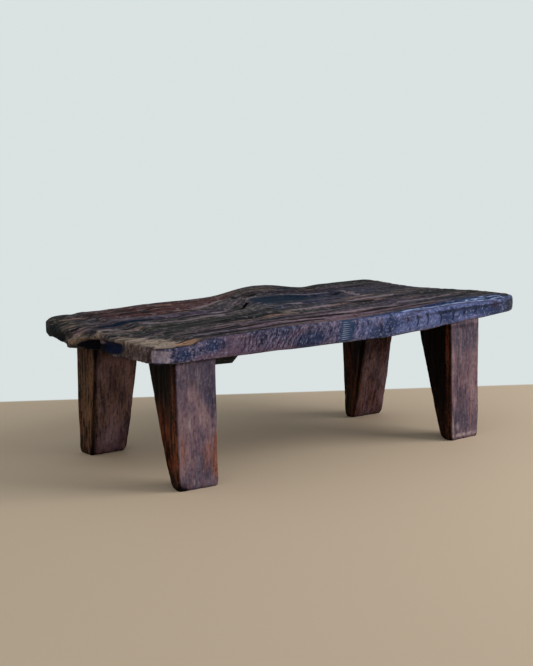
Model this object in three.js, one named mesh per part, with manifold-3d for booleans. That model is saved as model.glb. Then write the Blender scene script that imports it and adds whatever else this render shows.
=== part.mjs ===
// A low table hewn by hand: one thick slab with wandering edges, on four legs that narrow to the foot.
// Each leg ends in a short tenon that stops inside the slab, spread there by two blind wedges.
// A batten is nailed under the left end, where the slab has begun to split.
//
// Millimetres. X runs along the slab, Y from the front edge to the back edge, Z up from the floor.
// The origin is on the floor, under the middle of the slab.

import * as THREE from 'three';
import { mergeVertices } from 'three/addons/utils/BufferGeometryUtils.js';
import Module from 'manifold-3d';

const wasm = await Module();
wasm.setup();

// Slab: the block that it was hewn from, and the height of its underside above the floor.
const slabLength = 1200;
const slabWidth = 601;
const slabThickness = 55;
const undersideHeight = 290;

// Slab: how far each edge is worn back from the top face, and how far down the wear reaches.
const frontWearLeft = 6;
const frontWearRight = 22;
const endWear = 11;
const backWear = 16;
const wearDrop = 8;
const lowerWear = 6;
const lowerWearRise = 8;
const shoulderInShare = 0.35;
const shoulderDropShare = 0.3;

// Legs: each is measured at its top and at its foot, from its outer end face and its outer side face.
// fromEnd and fromEdge place the outer faces inside the slab's block. endLean and sideLean say how far
// the foot stands in from them, and turn is in degrees.
const frontLeftLeg = {
  fromEnd: 81, fromEdge: 9, wide: 113, deep: 110, endLean: 12, sideLean: 0, turn: 0,
  footWide: 107, footDeep: 34,
};
const frontRightLeg = {
  fromEnd: 184, fromEdge: 13, wide: 112, deep: 112, endLean: -4, sideLean: 0, turn: 4,
  footWide: 104, footDeep: 35,
};
const backLeftLeg = {
  fromEnd: 111, fromEdge: 115, wide: 126, deep: 96, endLean: 5, sideLean: 0, turn: 0,
  footWide: 100, footDeep: 58,
};
const backRightLeg = {
  fromEnd: 197, fromEdge: 178, wide: 105, deep: 108, endLean: -10, sideLean: 10, turn: 0,
  footWide: 106, footDeep: 34,
};
const legCornerRadius = 6;
const soleCornerRadius = 8;

// Foot: the sole's flat is this much smaller than the leg, and the rounding climbs this high.
const heelWear = 8;
const toeWear = 2;
const soleEndWear = 5;
const soleWearHeight = 18;

// Joint of leg and slab.
const tenonWide = 60;
const tenonDeep = 52;
const tenonTall = 24;
const tenonRoot = 30;
const wedgeLong = 19;
const wedgeThick = 5;
const wedgeTip = 1.5;
const wedgeSpacing = 30;

// Batten under the left end, just inside both left legs.
const battenLong = 415;
const battenWide = 88;
const battenThick = 24;
const battenBevel = 20;
const battenSetback = 54;
const battenFromLeg = 6;

// Forged nails that hold the batten.
const nailCount = 4;
const nailEndMargin = 45;
const nailStagger = 12;
const nailShank = 5;
const nailTip = 1.6;
const nailLong = 48;
const nailHead = 13;
const nailHeadFlat = 6.5;
const nailHeadThick = 4;
const nailSides = 4;
const nailHeadSides = 8;

// Room left between pieces: under a seat, round a tenon, a wedge or a nail, and past its far end.
const seatGap = 0.3;
const jointGap = 0.3;

// Points on the slab's four edges, chosen by eye, as shares of its length and of its width.
const frontEdgeShares = [
  [0.047, 0.035], [0.062, 0.003], [0.158, 0.002], [0.267, 0.003], [0.375, 0], [0.483, 0.003], [0.592, 0],
  [0.675, 0.002], [0.752, 0.003], [0.825, 0.017], [0.892, 0.035], [0.95, 0.055], [0.985, 0.095],
];
const rightEndShares = [
  [0.985, 0.095], [1, 0.158], [1, 0.248], [0.99, 0.331], [0.971, 0.439], [0.947, 0.547], [0.933, 0.647],
  [0.934, 0.747], [0.94, 0.847], [0.937, 0.922], [0.918, 0.96],
];
const backEdgeShares = [
  [0.032, 0.834], [0.067, 0.884], [0.125, 0.902], [0.2, 0.91], [0.283, 0.91], [0.358, 0.91],
  [0.433, 0.914], [0.483, 0.945], [0.525, 0.975], [0.567, 0.997], [0.608, 1], [0.65, 0.972],
  [0.679, 0.922], [0.713, 0.897], [0.767, 0.93], [0.825, 0.95], [0.875, 0.958], [0.918, 0.96],
];
const leftEndShares = [
  [0.047, 0.035], [0.033, 0.068], [0.034, 0.165], [0.033, 0.248], [0.026, 0.32], [0.033, 0.38],
  [0.034, 0.42], [0.04, 0.46], [0.013, 0.521], [0, 0.553], [0.01, 0.6], [0.011, 0.672],
  [0.016, 0.747], [0.032, 0.834],
];

// Height of the top and of the underside along the slab: share of the length, share of the thickness.
const topProfileShares = [
  [0, 0.6], [0.058, 0.636], [0.098, 0.68], [0.133, 0.836], [0.162, 0.873], [0.205, 0.918], [0.292, 0.985],
  [0.575, 1], [0.68, 1.027], [0.783, 1.06], [0.908, 1.04], [1, 1.05],
];
const undersideProfileShares = [
  [0, 0], [0.57, 0], [0.68, 0.11], [0.751, 0.21], [0.825, 0.273], [0.946, 0.35],
];

// Broad swells and hollows: place along and across the slab, reach along and across, and rise.
// The first four numbers are shares of the length or the width, and the rise is a share of the thickness.
const topSwellShares = [
  [0.017, 0.73, 0.1, 0.38, 0.19],
  [0.608, 0.985, 0.08, 0.125, 0.194],
  [0.575, 0.66, 0.14, 0.075, -0.09],
  [0.958, 0.56, 0.058, 0.18, -0.04],
  [0.07, 0.93, 0.06, 0.14, 0.14], [0.73, 0.95, 0.08, 0.15, 0.05],
  [0.008, 0.54, 0.025, 0.045, -0.28],
];
const undersideSwellShares = [[0, 0.74, 0.05, 0.15, 0.27]];

// Fineness of the slab's grid, of a leg's corners and of its rounded foot.
const cellsAlong = 34;
const cellsAcross = 24;
const cornerSteps = 3;
const footSteps = 3;
const legSteps = 5;
const taperPower = 0.9;

const woodColours = { slab: 0x4a3a36, leg: 0x5a3f38, wedge: 0x8c6d4c, batten: 0x3d3b35 };
const ironColour = 0x3a3430;

function wood(colour) {
  return new THREE.MeshStandardMaterial({ color: colour, roughness: 0.62, metalness: 0 });
}

function iron() {
  return new THREE.MeshStandardMaterial({ color: ironColour, roughness: 0.7, metalness: 0.8 });
}

// A closed solid that can be cut and joined, from a geometry, and back again.
function toSolid(geometry) {
  const bare = geometry.index ? geometry.clone() : geometry;
  bare.deleteAttribute('normal');
  bare.deleteAttribute('uv');
  const merged = mergeVertices(bare);
  return new wasm.Manifold(new wasm.Mesh({
    numProp: 3,
    vertProperties: new Float32Array(merged.attributes.position.array),
    triVerts: new Uint32Array(merged.index.array),
  }));
}

function toGeometry(solid) {
  const mesh = solid.getMesh();
  const geometry = new THREE.BufferGeometry();
  geometry.setAttribute('position', new THREE.BufferAttribute(mesh.vertProperties, 3));
  geometry.setIndex(new THREE.BufferAttribute(mesh.triVerts, 1));
  geometry.computeVertexNormals();
  return geometry;
}

function meshOf(name, solid, material) {
  const mesh = new THREE.Mesh(toGeometry(solid), material);
  mesh.name = name;
  return mesh;
}

// Value at a place in a table of [place, value] rows, eased from row to row.
function along(table, place) {
  const last = table.length - 1;
  let row = 0;
  while (row < last - 1 && place > table[row + 1][0]) row += 1;
  const [from, low] = table[row];
  const [to, high] = table[row + 1];
  return THREE.MathUtils.lerp(low, high, THREE.MathUtils.smoothstep(place, from, to));
}

function swell(table, u, v) {
  let rise = 0;
  for (const [atU, atV, reachU, reachV, height] of table) {
    rise += height * Math.exp(-(((u - atU) / reachU) ** 2) - ((v - atV) / reachV) ** 2);
  }
  return rise;
}

// Height of a hewn face over the floor, from its table along the slab and its table of swells.
function faceHeight(profile, swells, x, y) {
  const u = x / slabLength;
  const v = y / slabWidth;
  return undersideHeight + slabThickness * (along(profile, u) + swell(swells, u, v));
}

function topHeight(x, y) {
  return faceHeight(topProfileShares, topSwellShares, x, y);
}

function undersideAt(x, y) {
  return faceHeight(undersideProfileShares, undersideSwellShares, x, y);
}

function edgeCurve(shares) {
  return new THREE.SplineCurve(shares.map(([u, v]) => new THREE.Vector2(u * slabLength, v * slabWidth)));
}

const frontEdge = edgeCurve(frontEdgeShares);
const backEdge = edgeCurve(backEdgeShares);
const leftEnd = edgeCurve(leftEndShares);
const rightEnd = edgeCurve(rightEndShares);

// Point of the plan at shares u along and v across, blended from the four edges.
function planPoint(u, v) {
  const front = frontEdge.getPoint(u);
  const back = backEdge.getPoint(u);
  const left = leftEnd.getPoint(v);
  const right = rightEnd.getPoint(v);
  const corners = new THREE.Vector2()
    .addScaledVector(frontEdge.getPoint(0), (1 - u) * (1 - v))
    .addScaledVector(frontEdge.getPoint(1), u * (1 - v))
    .addScaledVector(backEdge.getPoint(0), (1 - u) * v)
    .addScaledVector(backEdge.getPoint(1), u * v);
  return front.multiplyScalar(1 - v)
    .addScaledVector(back, v)
    .addScaledVector(left, 1 - u)
    .addScaledVector(right, u)
    .sub(corners);
}

// Grid place drawn in from the rim by one width at the front, another at the back and a third at the ends.
function drawnIn(u, v, frontWidth, backWidth, endWidth) {
  const low = frontWidth / slabWidth;
  const high = 1 - backWidth / slabWidth;
  const end = endWidth / slabLength;
  return planPoint(THREE.MathUtils.lerp(end, 1 - end, u), THREE.MathUtils.lerp(low, high, v));
}

// The slab is a stack of layers over one grid: the underside, the rings of its edge, and the top.
function slabBlank() {
  const places = [];
  const rim = [];
  for (let j = 0; j <= cellsAcross; j += 1) {
    for (let i = 0; i <= cellsAlong; i += 1) places.push([i / cellsAlong, j / cellsAcross]);
  }
  const rowLength = cellsAlong + 1;
  for (let i = 0; i < cellsAlong; i += 1) rim.push(i);
  for (let j = 0; j < cellsAcross; j += 1) rim.push(j * rowLength + cellsAlong);
  for (let i = cellsAlong; i > 0; i -= 1) rim.push(cellsAcross * rowLength + i);
  for (let j = cellsAcross; j > 0; j -= 1) rim.push(j * rowLength);

  const points = [];
  const faces = [];
  function topPoint([u, v], inShare, dropShare) {
    const frontWear = THREE.MathUtils.lerp(frontWearLeft, frontWearRight, u);
    const place = drawnIn(u, v, frontWear * inShare, backWear * inShare, endWear * inShare);
    return [place.x, place.y, topHeight(place.x, place.y) - wearDrop * dropShare];
  }
  function lowPoint([u, v], inShare, riseShare) {
    const place = drawnIn(u, v, lowerWear * inShare, backWear * inShare, lowerWear * inShare);
    return [place.x, place.y, undersideAt(place.x, place.y) + lowerWearRise * riseShare];
  }
  function addRing(make) {
    const start = points.length;
    for (const index of rim) points.push(make(places[index]));
    return rim.map((_, k) => start + k);
  }
  function addStrip(lower, upper) {
    lower.forEach((a, k) => {
      const next = (k + 1) % lower.length;
      faces.push([a, lower[next], upper[next]], [a, upper[next], upper[k]]);
    });
  }
  function addSheet(make, facesUp) {
    const start = points.length;
    for (const place of places) points.push(make(place));
    for (let j = 0; j < cellsAcross; j += 1) {
      for (let i = 0; i < cellsAlong; i += 1) {
        const a = start + j * rowLength + i;
        const b = a + 1;
        const c = b + rowLength;
        const d = a + rowLength;
        if (facesUp) faces.push([a, b, c], [a, c, d]);
        else faces.push([a, c, b], [a, d, c]);
      }
    }
    return rim.map((index) => start + index);
  }

  const underRim = addSheet((place) => lowPoint(place, 1, 0), false);
  const lowerArris = addRing((place) => lowPoint(place, 0, 1));
  const upperArris = addRing((place) => topPoint(place, 0, 1));
  const shoulder = addRing((place) => topPoint(place, shoulderInShare, shoulderDropShare));
  const topRim = addSheet((place) => topPoint(place, 1, 0), true);
  addStrip(underRim, lowerArris);
  addStrip(lowerArris, upperArris);
  addStrip(upperArris, shoulder);
  addStrip(shoulder, topRim);
  return solidOf(points, faces);
}

function solidOf(points, faces) {
  const geometry = new THREE.BufferGeometry();
  geometry.setAttribute('position', new THREE.Float32BufferAttribute(points.flat(), 3));
  geometry.setIndex(faces.flat());
  return toSolid(geometry);
}

// Closed solid through rings of equally many points, each ring turning left as seen from above.
function loft(rings) {
  const count = rings[0].length;
  const last = (rings.length - 1) * count;
  const faces = [];
  for (let level = 0; level < rings.length - 1; level += 1) {
    for (let k = 0; k < count; k += 1) {
      const a = level * count + k;
      const b = level * count + ((k + 1) % count);
      faces.push([a, b, b + count], [a, b + count, a + count]);
    }
  }
  for (let k = 1; k < count - 1; k += 1) {
    faces.push([0, k + 1, k], [last, last + k, last + k + 1]);
  }
  return solidOf(rings.flat(), faces);
}

function roundedRing({ x0, x1, y0, y1 }, radius, z) {
  const ring = [];
  const corners = [[x1 - radius, y0 + radius], [x1 - radius, y1 - radius], [x0 + radius, y1 - radius],
    [x0 + radius, y0 + radius]];
  corners.forEach(([x, y], quarter) => {
    for (let step = 0; step <= cornerSteps; step += 1) {
      const angle = (quarter - 1 + step / cornerSteps) * (Math.PI / 2);
      ring.push([x + radius * Math.cos(angle), y + radius * Math.sin(angle), z]);
    }
  });
  return ring;
}

// Outer limits of a leg at a height, in the leg's own frame. end is -1 at the left end of the table and
// 1 at the right, side is -1 at the front and 1 at the back, and wear is 1 at the sole and 0 above it.
function legLimits({ end, side, size }, height, wear) {
  const share = (height / undersideHeight) ** taperPower;
  const outerX = end * (size.wide / 2 - THREE.MathUtils.lerp(size.endLean, 0, share));
  const outerY = side * (size.deep / 2 - THREE.MathUtils.lerp(size.sideLean, 0, share));
  const innerX = outerX - end * THREE.MathUtils.lerp(size.footWide, size.wide, share);
  const innerY = outerY - side * THREE.MathUtils.lerp(size.footDeep, size.deep, share);
  const wornOuterY = outerY - side * toeWear * wear;
  const wornInnerY = innerY + side * heelWear * wear;
  return {
    x0: Math.min(outerX, innerX) + soleEndWear * wear,
    x1: Math.max(outerX, innerX) - soleEndWear * wear,
    y0: Math.min(wornOuterY, wornInnerY),
    y1: Math.max(wornOuterY, wornInnerY),
  };
}

function legBlank(leg) {
  const rings = [];
  for (let step = 0; step <= footSteps; step += 1) {
    const angle = (step / footSteps) * (Math.PI / 2);
    const height = soleWearHeight * (1 - Math.cos(angle));
    const wear = 1 - Math.sin(angle);
    const radius = THREE.MathUtils.lerp(legCornerRadius, soleCornerRadius, wear);
    rings.push(roundedRing(legLimits(leg, height, wear), radius, height));
  }
  const top = undersideHeight + slabThickness / 2;
  for (let step = 1; step <= legSteps; step += 1) {
    const height = THREE.MathUtils.lerp(soleWearHeight, top, step / legSteps);
    rings.push(roundedRing(legLimits(leg, height, 0), legCornerRadius, height));
  }
  return loft(rings);
}

function block(wide, deep, low, high) {
  const box = new THREE.BoxGeometry(wide, deep, high - low);
  box.translate(0, 0, (low + high) / 2);
  return toSolid(box);
}

// A wedge stands point down in its slot and runs the whole depth of the tenon. overrun carries a slot on
// past the tenon's top and its two sides.
function wedgeBody(clearance, top, overrun) {
  const slope = (wedgeThick - wedgeTip) / 2 / wedgeLong;
  const tipHalf = wedgeTip / 2 + clearance;
  const topHalf = tipHalf + slope * (wedgeLong + overrun);
  const outline = new THREE.Shape([
    new THREE.Vector2(-tipHalf, -wedgeLong - clearance),
    new THREE.Vector2(tipHalf, -wedgeLong - clearance),
    new THREE.Vector2(topHalf, overrun),
    new THREE.Vector2(-topHalf, overrun),
  ]);
  const deep = tenonDeep + 2 * overrun;
  const body = new THREE.ExtrudeGeometry(outline, { depth: deep, bevelEnabled: false });
  body.translate(0, 0, -deep / 2);
  body.rotateX(Math.PI / 2);
  body.translate(0, 0, top);
  return toSolid(body);
}

// A group that stands where the leg does: its frame is on the floor, under the middle of the leg's top.
function legPlace({ end, side, size }) {
  const place = new THREE.Group();
  const fromLeft = size.fromEnd + size.wide / 2;
  const fromFront = size.fromEdge + size.deep / 2;
  place.position.x = end < 0 ? fromLeft : slabLength - fromLeft;
  place.position.y = side < 0 ? fromFront : slabWidth - fromFront;
  place.rotation.z = THREE.MathUtils.degToRad(size.turn);
  place.updateMatrix();
  return place;
}

const blank = slabBlank();
const fittedSlab = { solid: blank };

// Everything of a solid that lies below the slab's underside, less the gap of a seat.
function seatedUnderSlab(solid, place) {
  const cover = blank.translate([0, 0, -seatGap]).transform(place.matrix.clone().invert().elements);
  return solid.subtract(cover);
}

function cutSlab(solid, place) {
  fittedSlab.solid = fittedSlab.solid.subtract(solid.transform(place.matrix.elements));
}

function legWithWedges(leg) {
  const place = legPlace(leg);
  const seat = undersideAt(place.position.x, place.position.y);
  const tenonTop = seat + tenonTall;
  const wedgeTop = tenonTop + jointGap;
  const tenon = block(tenonWide, tenonDeep, seat - tenonRoot, tenonTop);
  const mortiseTop = wedgeTop + jointGap;
  let body = seatedUnderSlab(legBlank(leg), place).add(tenon);
  cutSlab(block(tenonWide + 2 * jointGap, tenonDeep + 2 * jointGap, seat - tenonRoot, mortiseTop), place);
  [-1, 1].forEach((across, index) => {
    const shift = [across * wedgeSpacing / 2, 0, 0];
    body = body.subtract(wedgeBody(jointGap, tenonTop, slabThickness - tenonTall).translate(shift));
    const wedge = wedgeBody(0, wedgeTop, 0).translate(shift);
    place.add(meshOf(`tenon_wedge_${leg.name}_${index + 1}`, wedge, wood(woodColours.wedge)));
  });
  place.add(meshOf(`leg_${leg.name}`, body, wood(woodColours.leg)));
  return place;
}

// A tapered square shank under a low four-sided head, point up. clearance widens it for its hole.
function nailBody(clearance) {
  const long = nailLong + clearance + nailHeadThick;
  const narrow = nailTip / 2 + clearance;
  const shank = new THREE.CylinderGeometry(narrow, nailShank / 2 + clearance, long, nailSides);
  shank.rotateX(Math.PI / 2);
  shank.translate(0, 0, (nailLong + clearance - nailHeadThick) / 2);
  if (clearance > 0) return toSolid(shank);
  const head = new THREE.CylinderGeometry(nailHead / 2, nailHeadFlat / 2, nailHeadThick, nailHeadSides);
  head.rotateX(Math.PI / 2);
  head.translate(0, 0, -nailHeadThick / 2 - seatGap);
  return toSolid(shank).add(toSolid(head));
}

function battenBody() {
  const half = battenWide / 2;
  const outline = new THREE.Shape([
    new THREE.Vector2(-half + battenBevel, 0),
    new THREE.Vector2(half - battenBevel, 0),
    new THREE.Vector2(half, battenBevel),
    new THREE.Vector2(half, battenThick + slabThickness / 2),
    new THREE.Vector2(-half, battenThick + slabThickness / 2),
    new THREE.Vector2(-half, battenBevel),
  ]);
  const body = new THREE.ExtrudeGeometry(outline, { depth: battenLong, bevelEnabled: false });
  body.rotateX(Math.PI / 2);
  body.translate(0, battenLong, 0);
  return toSolid(body);
}

// The batten starts at the front left leg's inner face and runs back to clear the back left leg.
function battenWithNails() {
  const frontX = frontLeftLeg.fromEnd + frontLeftLeg.wide + battenFromLeg;
  const backX = backLeftLeg.fromEnd + backLeftLeg.wide + battenFromLeg;
  const skew = Math.atan2(backX - frontX, battenLong - battenSetback);
  const place = new THREE.Group();
  place.position.set(frontX + battenWide / 2, battenSetback, undersideHeight - battenThick);
  place.rotation.z = -skew;
  place.updateMatrix();

  let body = seatedUnderSlab(battenBody(), place);
  for (let index = 0; index < nailCount; index += 1) {
    const sideways = index % 2 ? nailStagger : -nailStagger;
    const back = THREE.MathUtils.lerp(nailEndMargin, battenLong - nailEndMargin, index / (nailCount - 1));
    const spot = [sideways, back, 0];
    const hole = nailBody(jointGap).translate(spot);
    body = body.subtract(hole);
    cutSlab(hole, place);
    place.add(meshOf(`batten_nail_${index + 1}`, nailBody(0).translate(spot), iron()));
  }
  place.add(meshOf('left_end_batten', body, wood(woodColours.batten)));
  return place;
}

const table = new THREE.Group();
table.name = 'low_table';
const legs = [
  { name: 'front_left', end: -1, side: -1, size: frontLeftLeg },
  { name: 'front_right', end: 1, side: -1, size: frontRightLeg },
  { name: 'back_left', end: -1, side: 1, size: backLeftLeg },
  { name: 'back_right', end: 1, side: 1, size: backRightLeg },
];
for (const leg of legs) table.add(legWithWedges(leg));
table.add(battenWithNails());
table.add(meshOf('tabletop_slab', fittedSlab.solid, wood(woodColours.slab)));

// The origin goes under the middle of the whole table.
const middle = new THREE.Box3().setFromObject(table).getCenter(new THREE.Vector3());
table.position.set(-middle.x, -middle.y, 0);

export default table;
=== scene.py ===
"""A low table hewn by hand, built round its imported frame: slab, legs, batten, wedges and nails."""
import math
import bpy
import numpy as np
from mathutils import Matrix, Vector


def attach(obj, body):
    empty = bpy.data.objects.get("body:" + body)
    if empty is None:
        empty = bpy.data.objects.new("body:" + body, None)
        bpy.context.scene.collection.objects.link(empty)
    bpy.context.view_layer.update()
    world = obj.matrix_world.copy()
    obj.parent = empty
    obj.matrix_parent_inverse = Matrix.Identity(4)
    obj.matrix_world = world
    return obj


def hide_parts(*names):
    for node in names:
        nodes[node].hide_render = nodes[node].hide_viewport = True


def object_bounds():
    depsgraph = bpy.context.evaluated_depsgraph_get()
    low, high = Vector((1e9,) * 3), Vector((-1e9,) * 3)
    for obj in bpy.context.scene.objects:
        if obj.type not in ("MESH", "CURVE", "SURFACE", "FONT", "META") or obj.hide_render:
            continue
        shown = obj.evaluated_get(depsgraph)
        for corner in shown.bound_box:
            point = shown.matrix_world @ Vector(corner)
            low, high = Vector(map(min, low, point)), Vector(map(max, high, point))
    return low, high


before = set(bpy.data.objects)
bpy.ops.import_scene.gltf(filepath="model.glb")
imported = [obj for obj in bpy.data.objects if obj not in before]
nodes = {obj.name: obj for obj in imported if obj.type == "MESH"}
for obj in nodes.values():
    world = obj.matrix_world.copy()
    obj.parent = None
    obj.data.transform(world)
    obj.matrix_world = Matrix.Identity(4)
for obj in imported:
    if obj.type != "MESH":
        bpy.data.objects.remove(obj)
cad_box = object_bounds()

# Tabletop slab. One plank of dense dark hardwood, hewn to shape with an adze and worn smooth by years
# of use. Its grain follows the wandering back edge and swirls round its knots, and a long split runs in
# from a broken notch at the left end. Sizes are in mm, and shares run along and across the plank.
MM = 0.001
slab_long, slab_wide, slab_thick, slab_under = 1200.0, 601.0, 55.0, 290.0
slab_origin = np.array([-601.22, -300.988])
front_wear_left, front_wear_right, end_wear, back_wear = 6.0, 22.0, 11.0, 16.0
lower_wear, lower_rise, upper_drop = 6.0, 8.0, 8.0
far_lip_drop, far_foot_in = 9.0, 4.5
cells_along, cells_across = 336, 172

front_edge = [
    (0.047, 0.035), (0.062, 0.003), (0.158, 0.002), (0.267, 0.003), (0.375, 0), (0.483, 0.003), (0.592, 0),
    (0.675, 0.002), (0.752, 0.003), (0.825, 0.017), (0.892, 0.035), (0.95, 0.055), (0.985, 0.095)]
right_end = [
    (0.985, 0.095), (1, 0.158), (1, 0.248), (0.99, 0.331), (0.971, 0.439), (0.947, 0.547), (0.933, 0.647),
    (0.934, 0.747), (0.94, 0.847), (0.937, 0.922), (0.918, 0.96)]
back_edge = [
    (0.032, 0.834), (0.067, 0.884), (0.125, 0.902), (0.2, 0.91), (0.283, 0.91), (0.358, 0.91),
    (0.433, 0.914), (0.483, 0.945), (0.525, 0.975), (0.567, 0.997), (0.608, 1), (0.65, 0.972),
    (0.679, 0.922), (0.713, 0.897), (0.767, 0.93), (0.825, 0.95), (0.875, 0.958), (0.918, 0.96)]
left_end = [
    (0.047, 0.035), (0.033, 0.068), (0.034, 0.165), (0.033, 0.248), (0.026, 0.32), (0.033, 0.38),
    (0.034, 0.42), (0.04, 0.46), (0.013, 0.521), (0, 0.553), (0.01, 0.6), (0.011, 0.672), (0.016, 0.747),
    (0.032, 0.834)]
top_profile = [
    (0, 0.6), (0.058, 0.636), (0.098, 0.68), (0.133, 0.836), (0.162, 0.873), (0.205, 0.918), (0.292, 0.985),
    (0.575, 1), (0.68, 1.027), (0.783, 1.06), (0.908, 1.04), (1, 1.05)]
under_profile = [(0, 0), (0.57, 0), (0.68, 0.11), (0.751, 0.21), (0.825, 0.273), (0.946, 0.35)]
top_swells = [
    (0.017, 0.73, 0.1, 0.38, 0.19), (0.608, 0.985, 0.08, 0.125, 0.194), (0.575, 0.66, 0.14, 0.075, -0.09),
    (0.958, 0.56, 0.058, 0.18, -0.04), (0.07, 0.93, 0.06, 0.14, 0.14), (0.73, 0.95, 0.08, 0.15, 0.05),
    (0.008, 0.54, 0.025, 0.045, -0.28)]
under_swells = [(0, 0.74, 0.05, 0.15, 0.23)]


def bell(off, power=2):
    """1 in the middle, falling softly to 0 beyond one reach; a higher power has steeper sides."""
    return np.exp(-np.abs(off) ** power)


def part_way(value, start, stop):
    """How far a value has gone from start to stop, from 0 to 1."""
    return np.clip((value - start) / (stop - start), 0, 1)


def hewn_height(profile, swells, x, y):
    """Height of a hewn face over the slab's own plan, eased along it, with broad swells."""
    u, v = x / slab_long, y / slab_wide
    height = np.full(u.shape, float(profile[0][1]))
    for (start, low), (end, high) in zip(profile, profile[1:]):
        t = part_way(u, start, end)
        height += (high - low) * t * t * (3 - 2 * t)
    for at_u, at_v, reach_u, reach_v, rise in swells:
        height += rise * bell((u - at_u) / reach_u) * bell((v - at_v) / reach_v)
    return slab_under + slab_thick * height


def edge_line(points):
    """Smooth line through points of the plan, given back by the share of its length."""
    p = np.array(points) * (slab_long, slab_wide)
    q = np.vstack([p[:1], p, p[-1:]])
    line = []
    for i in range(len(p) - 1):
        t = np.linspace(0, 1, 60, endpoint=False)[:, None]
        a, b, c, d = q[i:i + 4]
        line.append(b + 0.5 * t * (c - a + t * (2 * a - 5 * b + 4 * c - d + t * (3 * (b - c) + d - a))))
    line = np.vstack(line + [p[-1:]])
    run = np.append(0, np.cumsum(np.linalg.norm(np.diff(line, axis=0), axis=1)))
    return lambda share: np.stack([np.interp(share * run[-1], run, line[:, k]) for k in (0, 1)], -1)


front_line, back_line, left_line, right_line = map(edge_line, (front_edge, back_edge, left_end, right_end))


def plan(u, v):
    """Place in the plan at shares u and v of the way along and across, blended from four edges."""
    f, b, l, r = front_line(u), back_line(u), left_line(v), right_line(v)
    u, v = u[..., None], v[..., None]
    corners = ((1 - u) * (1 - v) * front_line(0.0) + u * (1 - v) * front_line(1.0)
               + (1 - u) * v * back_line(0.0) + u * v * back_line(1.0))
    return f * (1 - v) + b * v + l * (1 - u) + r * u - corners


def shares(count, places, gain):
    """Shares from 0 to 1, closer together round the places that need a finer grid."""
    t = np.linspace(0, 1, 2001)
    weight = 1 + sum(gain * bell((t - at) / reach) for at, reach in places)
    run = np.append(0, np.cumsum((weight[1:] + weight[:-1]) / 2))
    return np.interp(np.linspace(0, run[-1], count + 1), run, t)


along = shares(cells_along, [(0.0, 0.07), (0.36, 0.13)], 0.9)
across = shares(cells_across, [(0.52, 0.08), (0.0, 0.03)], 0.9)
grid_u, grid_v = np.meshgrid(along, across)

# The rim is walked once round, front, right, back and left, and each place on it is a column.
rim = ([(0, i) for i in range(cells_along)] + [(j, cells_along) for j in range(cells_across)]
       + [(cells_across, i) for i in range(cells_along, 0, -1)]
       + [(j, 0) for j in range(cells_across, 0, -1)])
rim_j, rim_i = np.array(rim).T
rim_u, rim_v = along[rim_i], across[rim_j]


def ring(profile, swells, u, v, front, back, end, lift):
    """Places on a hewn face, drawn in from its rim by so much at the front, the back and the ends."""
    place = plan(end / slab_long + u * (1 - 2 * end / slab_long),
                 front / slab_wide + v * (1 - (front + back) / slab_wide))
    z = hewn_height(profile, swells, place[..., 0], place[..., 1]) + lift
    return np.concatenate([place, z[..., None]], -1)


def top_ring(u, v, inward, drop):
    front = front_wear_left + (front_wear_right - front_wear_left) * u
    return ring(top_profile, top_swells, u, v, front * inward, back_wear * inward, end_wear * inward,
                -upper_drop * drop)


def low_ring(u, v, inward, rise):
    return ring(under_profile, under_swells, u, v, lower_wear * inward, back_wear * inward,
                lower_wear * inward, lower_rise * rise)


# The edge's section: up round the lower arris, up the face, and over the worn upper arris. Its rows
# lie close together on both sides of each arris, which keeps the arris crisp.
corner_rings = [low_ring(rim_u, rim_v, 1, 0), low_ring(rim_u, rim_v, 0, 1), top_ring(rim_u, rim_v, 0, 1),
                top_ring(rim_u, rim_v, 0.25, 0.25), top_ring(rim_u, rim_v, 1, 0)]
section = np.array([0, 0.3, 0.7, 0.93, 1.03, 1.12, 1.24, 1.36, 1.48, 1.6, 1.72, 1.83, 1.92, 2, 2.3, 2.75, 3,
                    3.3, 4])
edge = np.array([(1 - s % 1) * corner_rings[min(int(s), 4)] + s % 1 * corner_rings[min(int(s) + 1, 4)]
                 for s in section])
edge[1:-1] = (edge[:-2] + 6 * edge[1:-1] + edge[2:]) / 8


def rim_marks(by_section):
    """One number for each point of the edge from a number for each of its rows."""
    return np.broadcast_to(np.asarray(by_section)[:, None], edge.shape[:2]).ravel()


# The tongue is a broken splinter of the left end whose top slopes down to its tip.
tongue_far = [(10, 346), (30, 323), (47, 307), (61, 304)]
tongue_near = [(0, 262), (48, 268), (61, 304)]


def tongue_lowered(points):
    """Lowers the points of the tongue to its own sloping facet, with a step up to its neighbours."""
    px, py, pz = points[..., 0], points[..., 1], points[..., 2]
    slope = 323.5 + 0.34 * (px - 48) + 0.05 * (py - 290)
    inside = ((px < tongue_far[-1][0]) & (py < np.interp(px, *zip(*tongue_far)))
              & (py > np.interp(px, *zip(*tongue_near))))
    points[..., 2] = np.where(inside, np.minimum(pz, slope), pz)
    return points


def far_lip_worn(points, share):
    """Lowers the top towards the far half of the left end, where its lip is worn away."""
    near_end = part_way(points[..., 0], 70, 15) ** 2
    points[..., 2] -= far_lip_drop * share * near_end * part_way(points[..., 1], 345, 385)
    return points


def far_foot_worn(points, share):
    """Draws the lower arris in round the far left corner, where it is worn round."""
    worn = far_foot_in * share * bell((points[..., 0] - 24) / 60) * bell((points[..., 1] - 480) / 45)
    points[..., 0] += worn
    points[..., 1] -= worn
    return points


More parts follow.
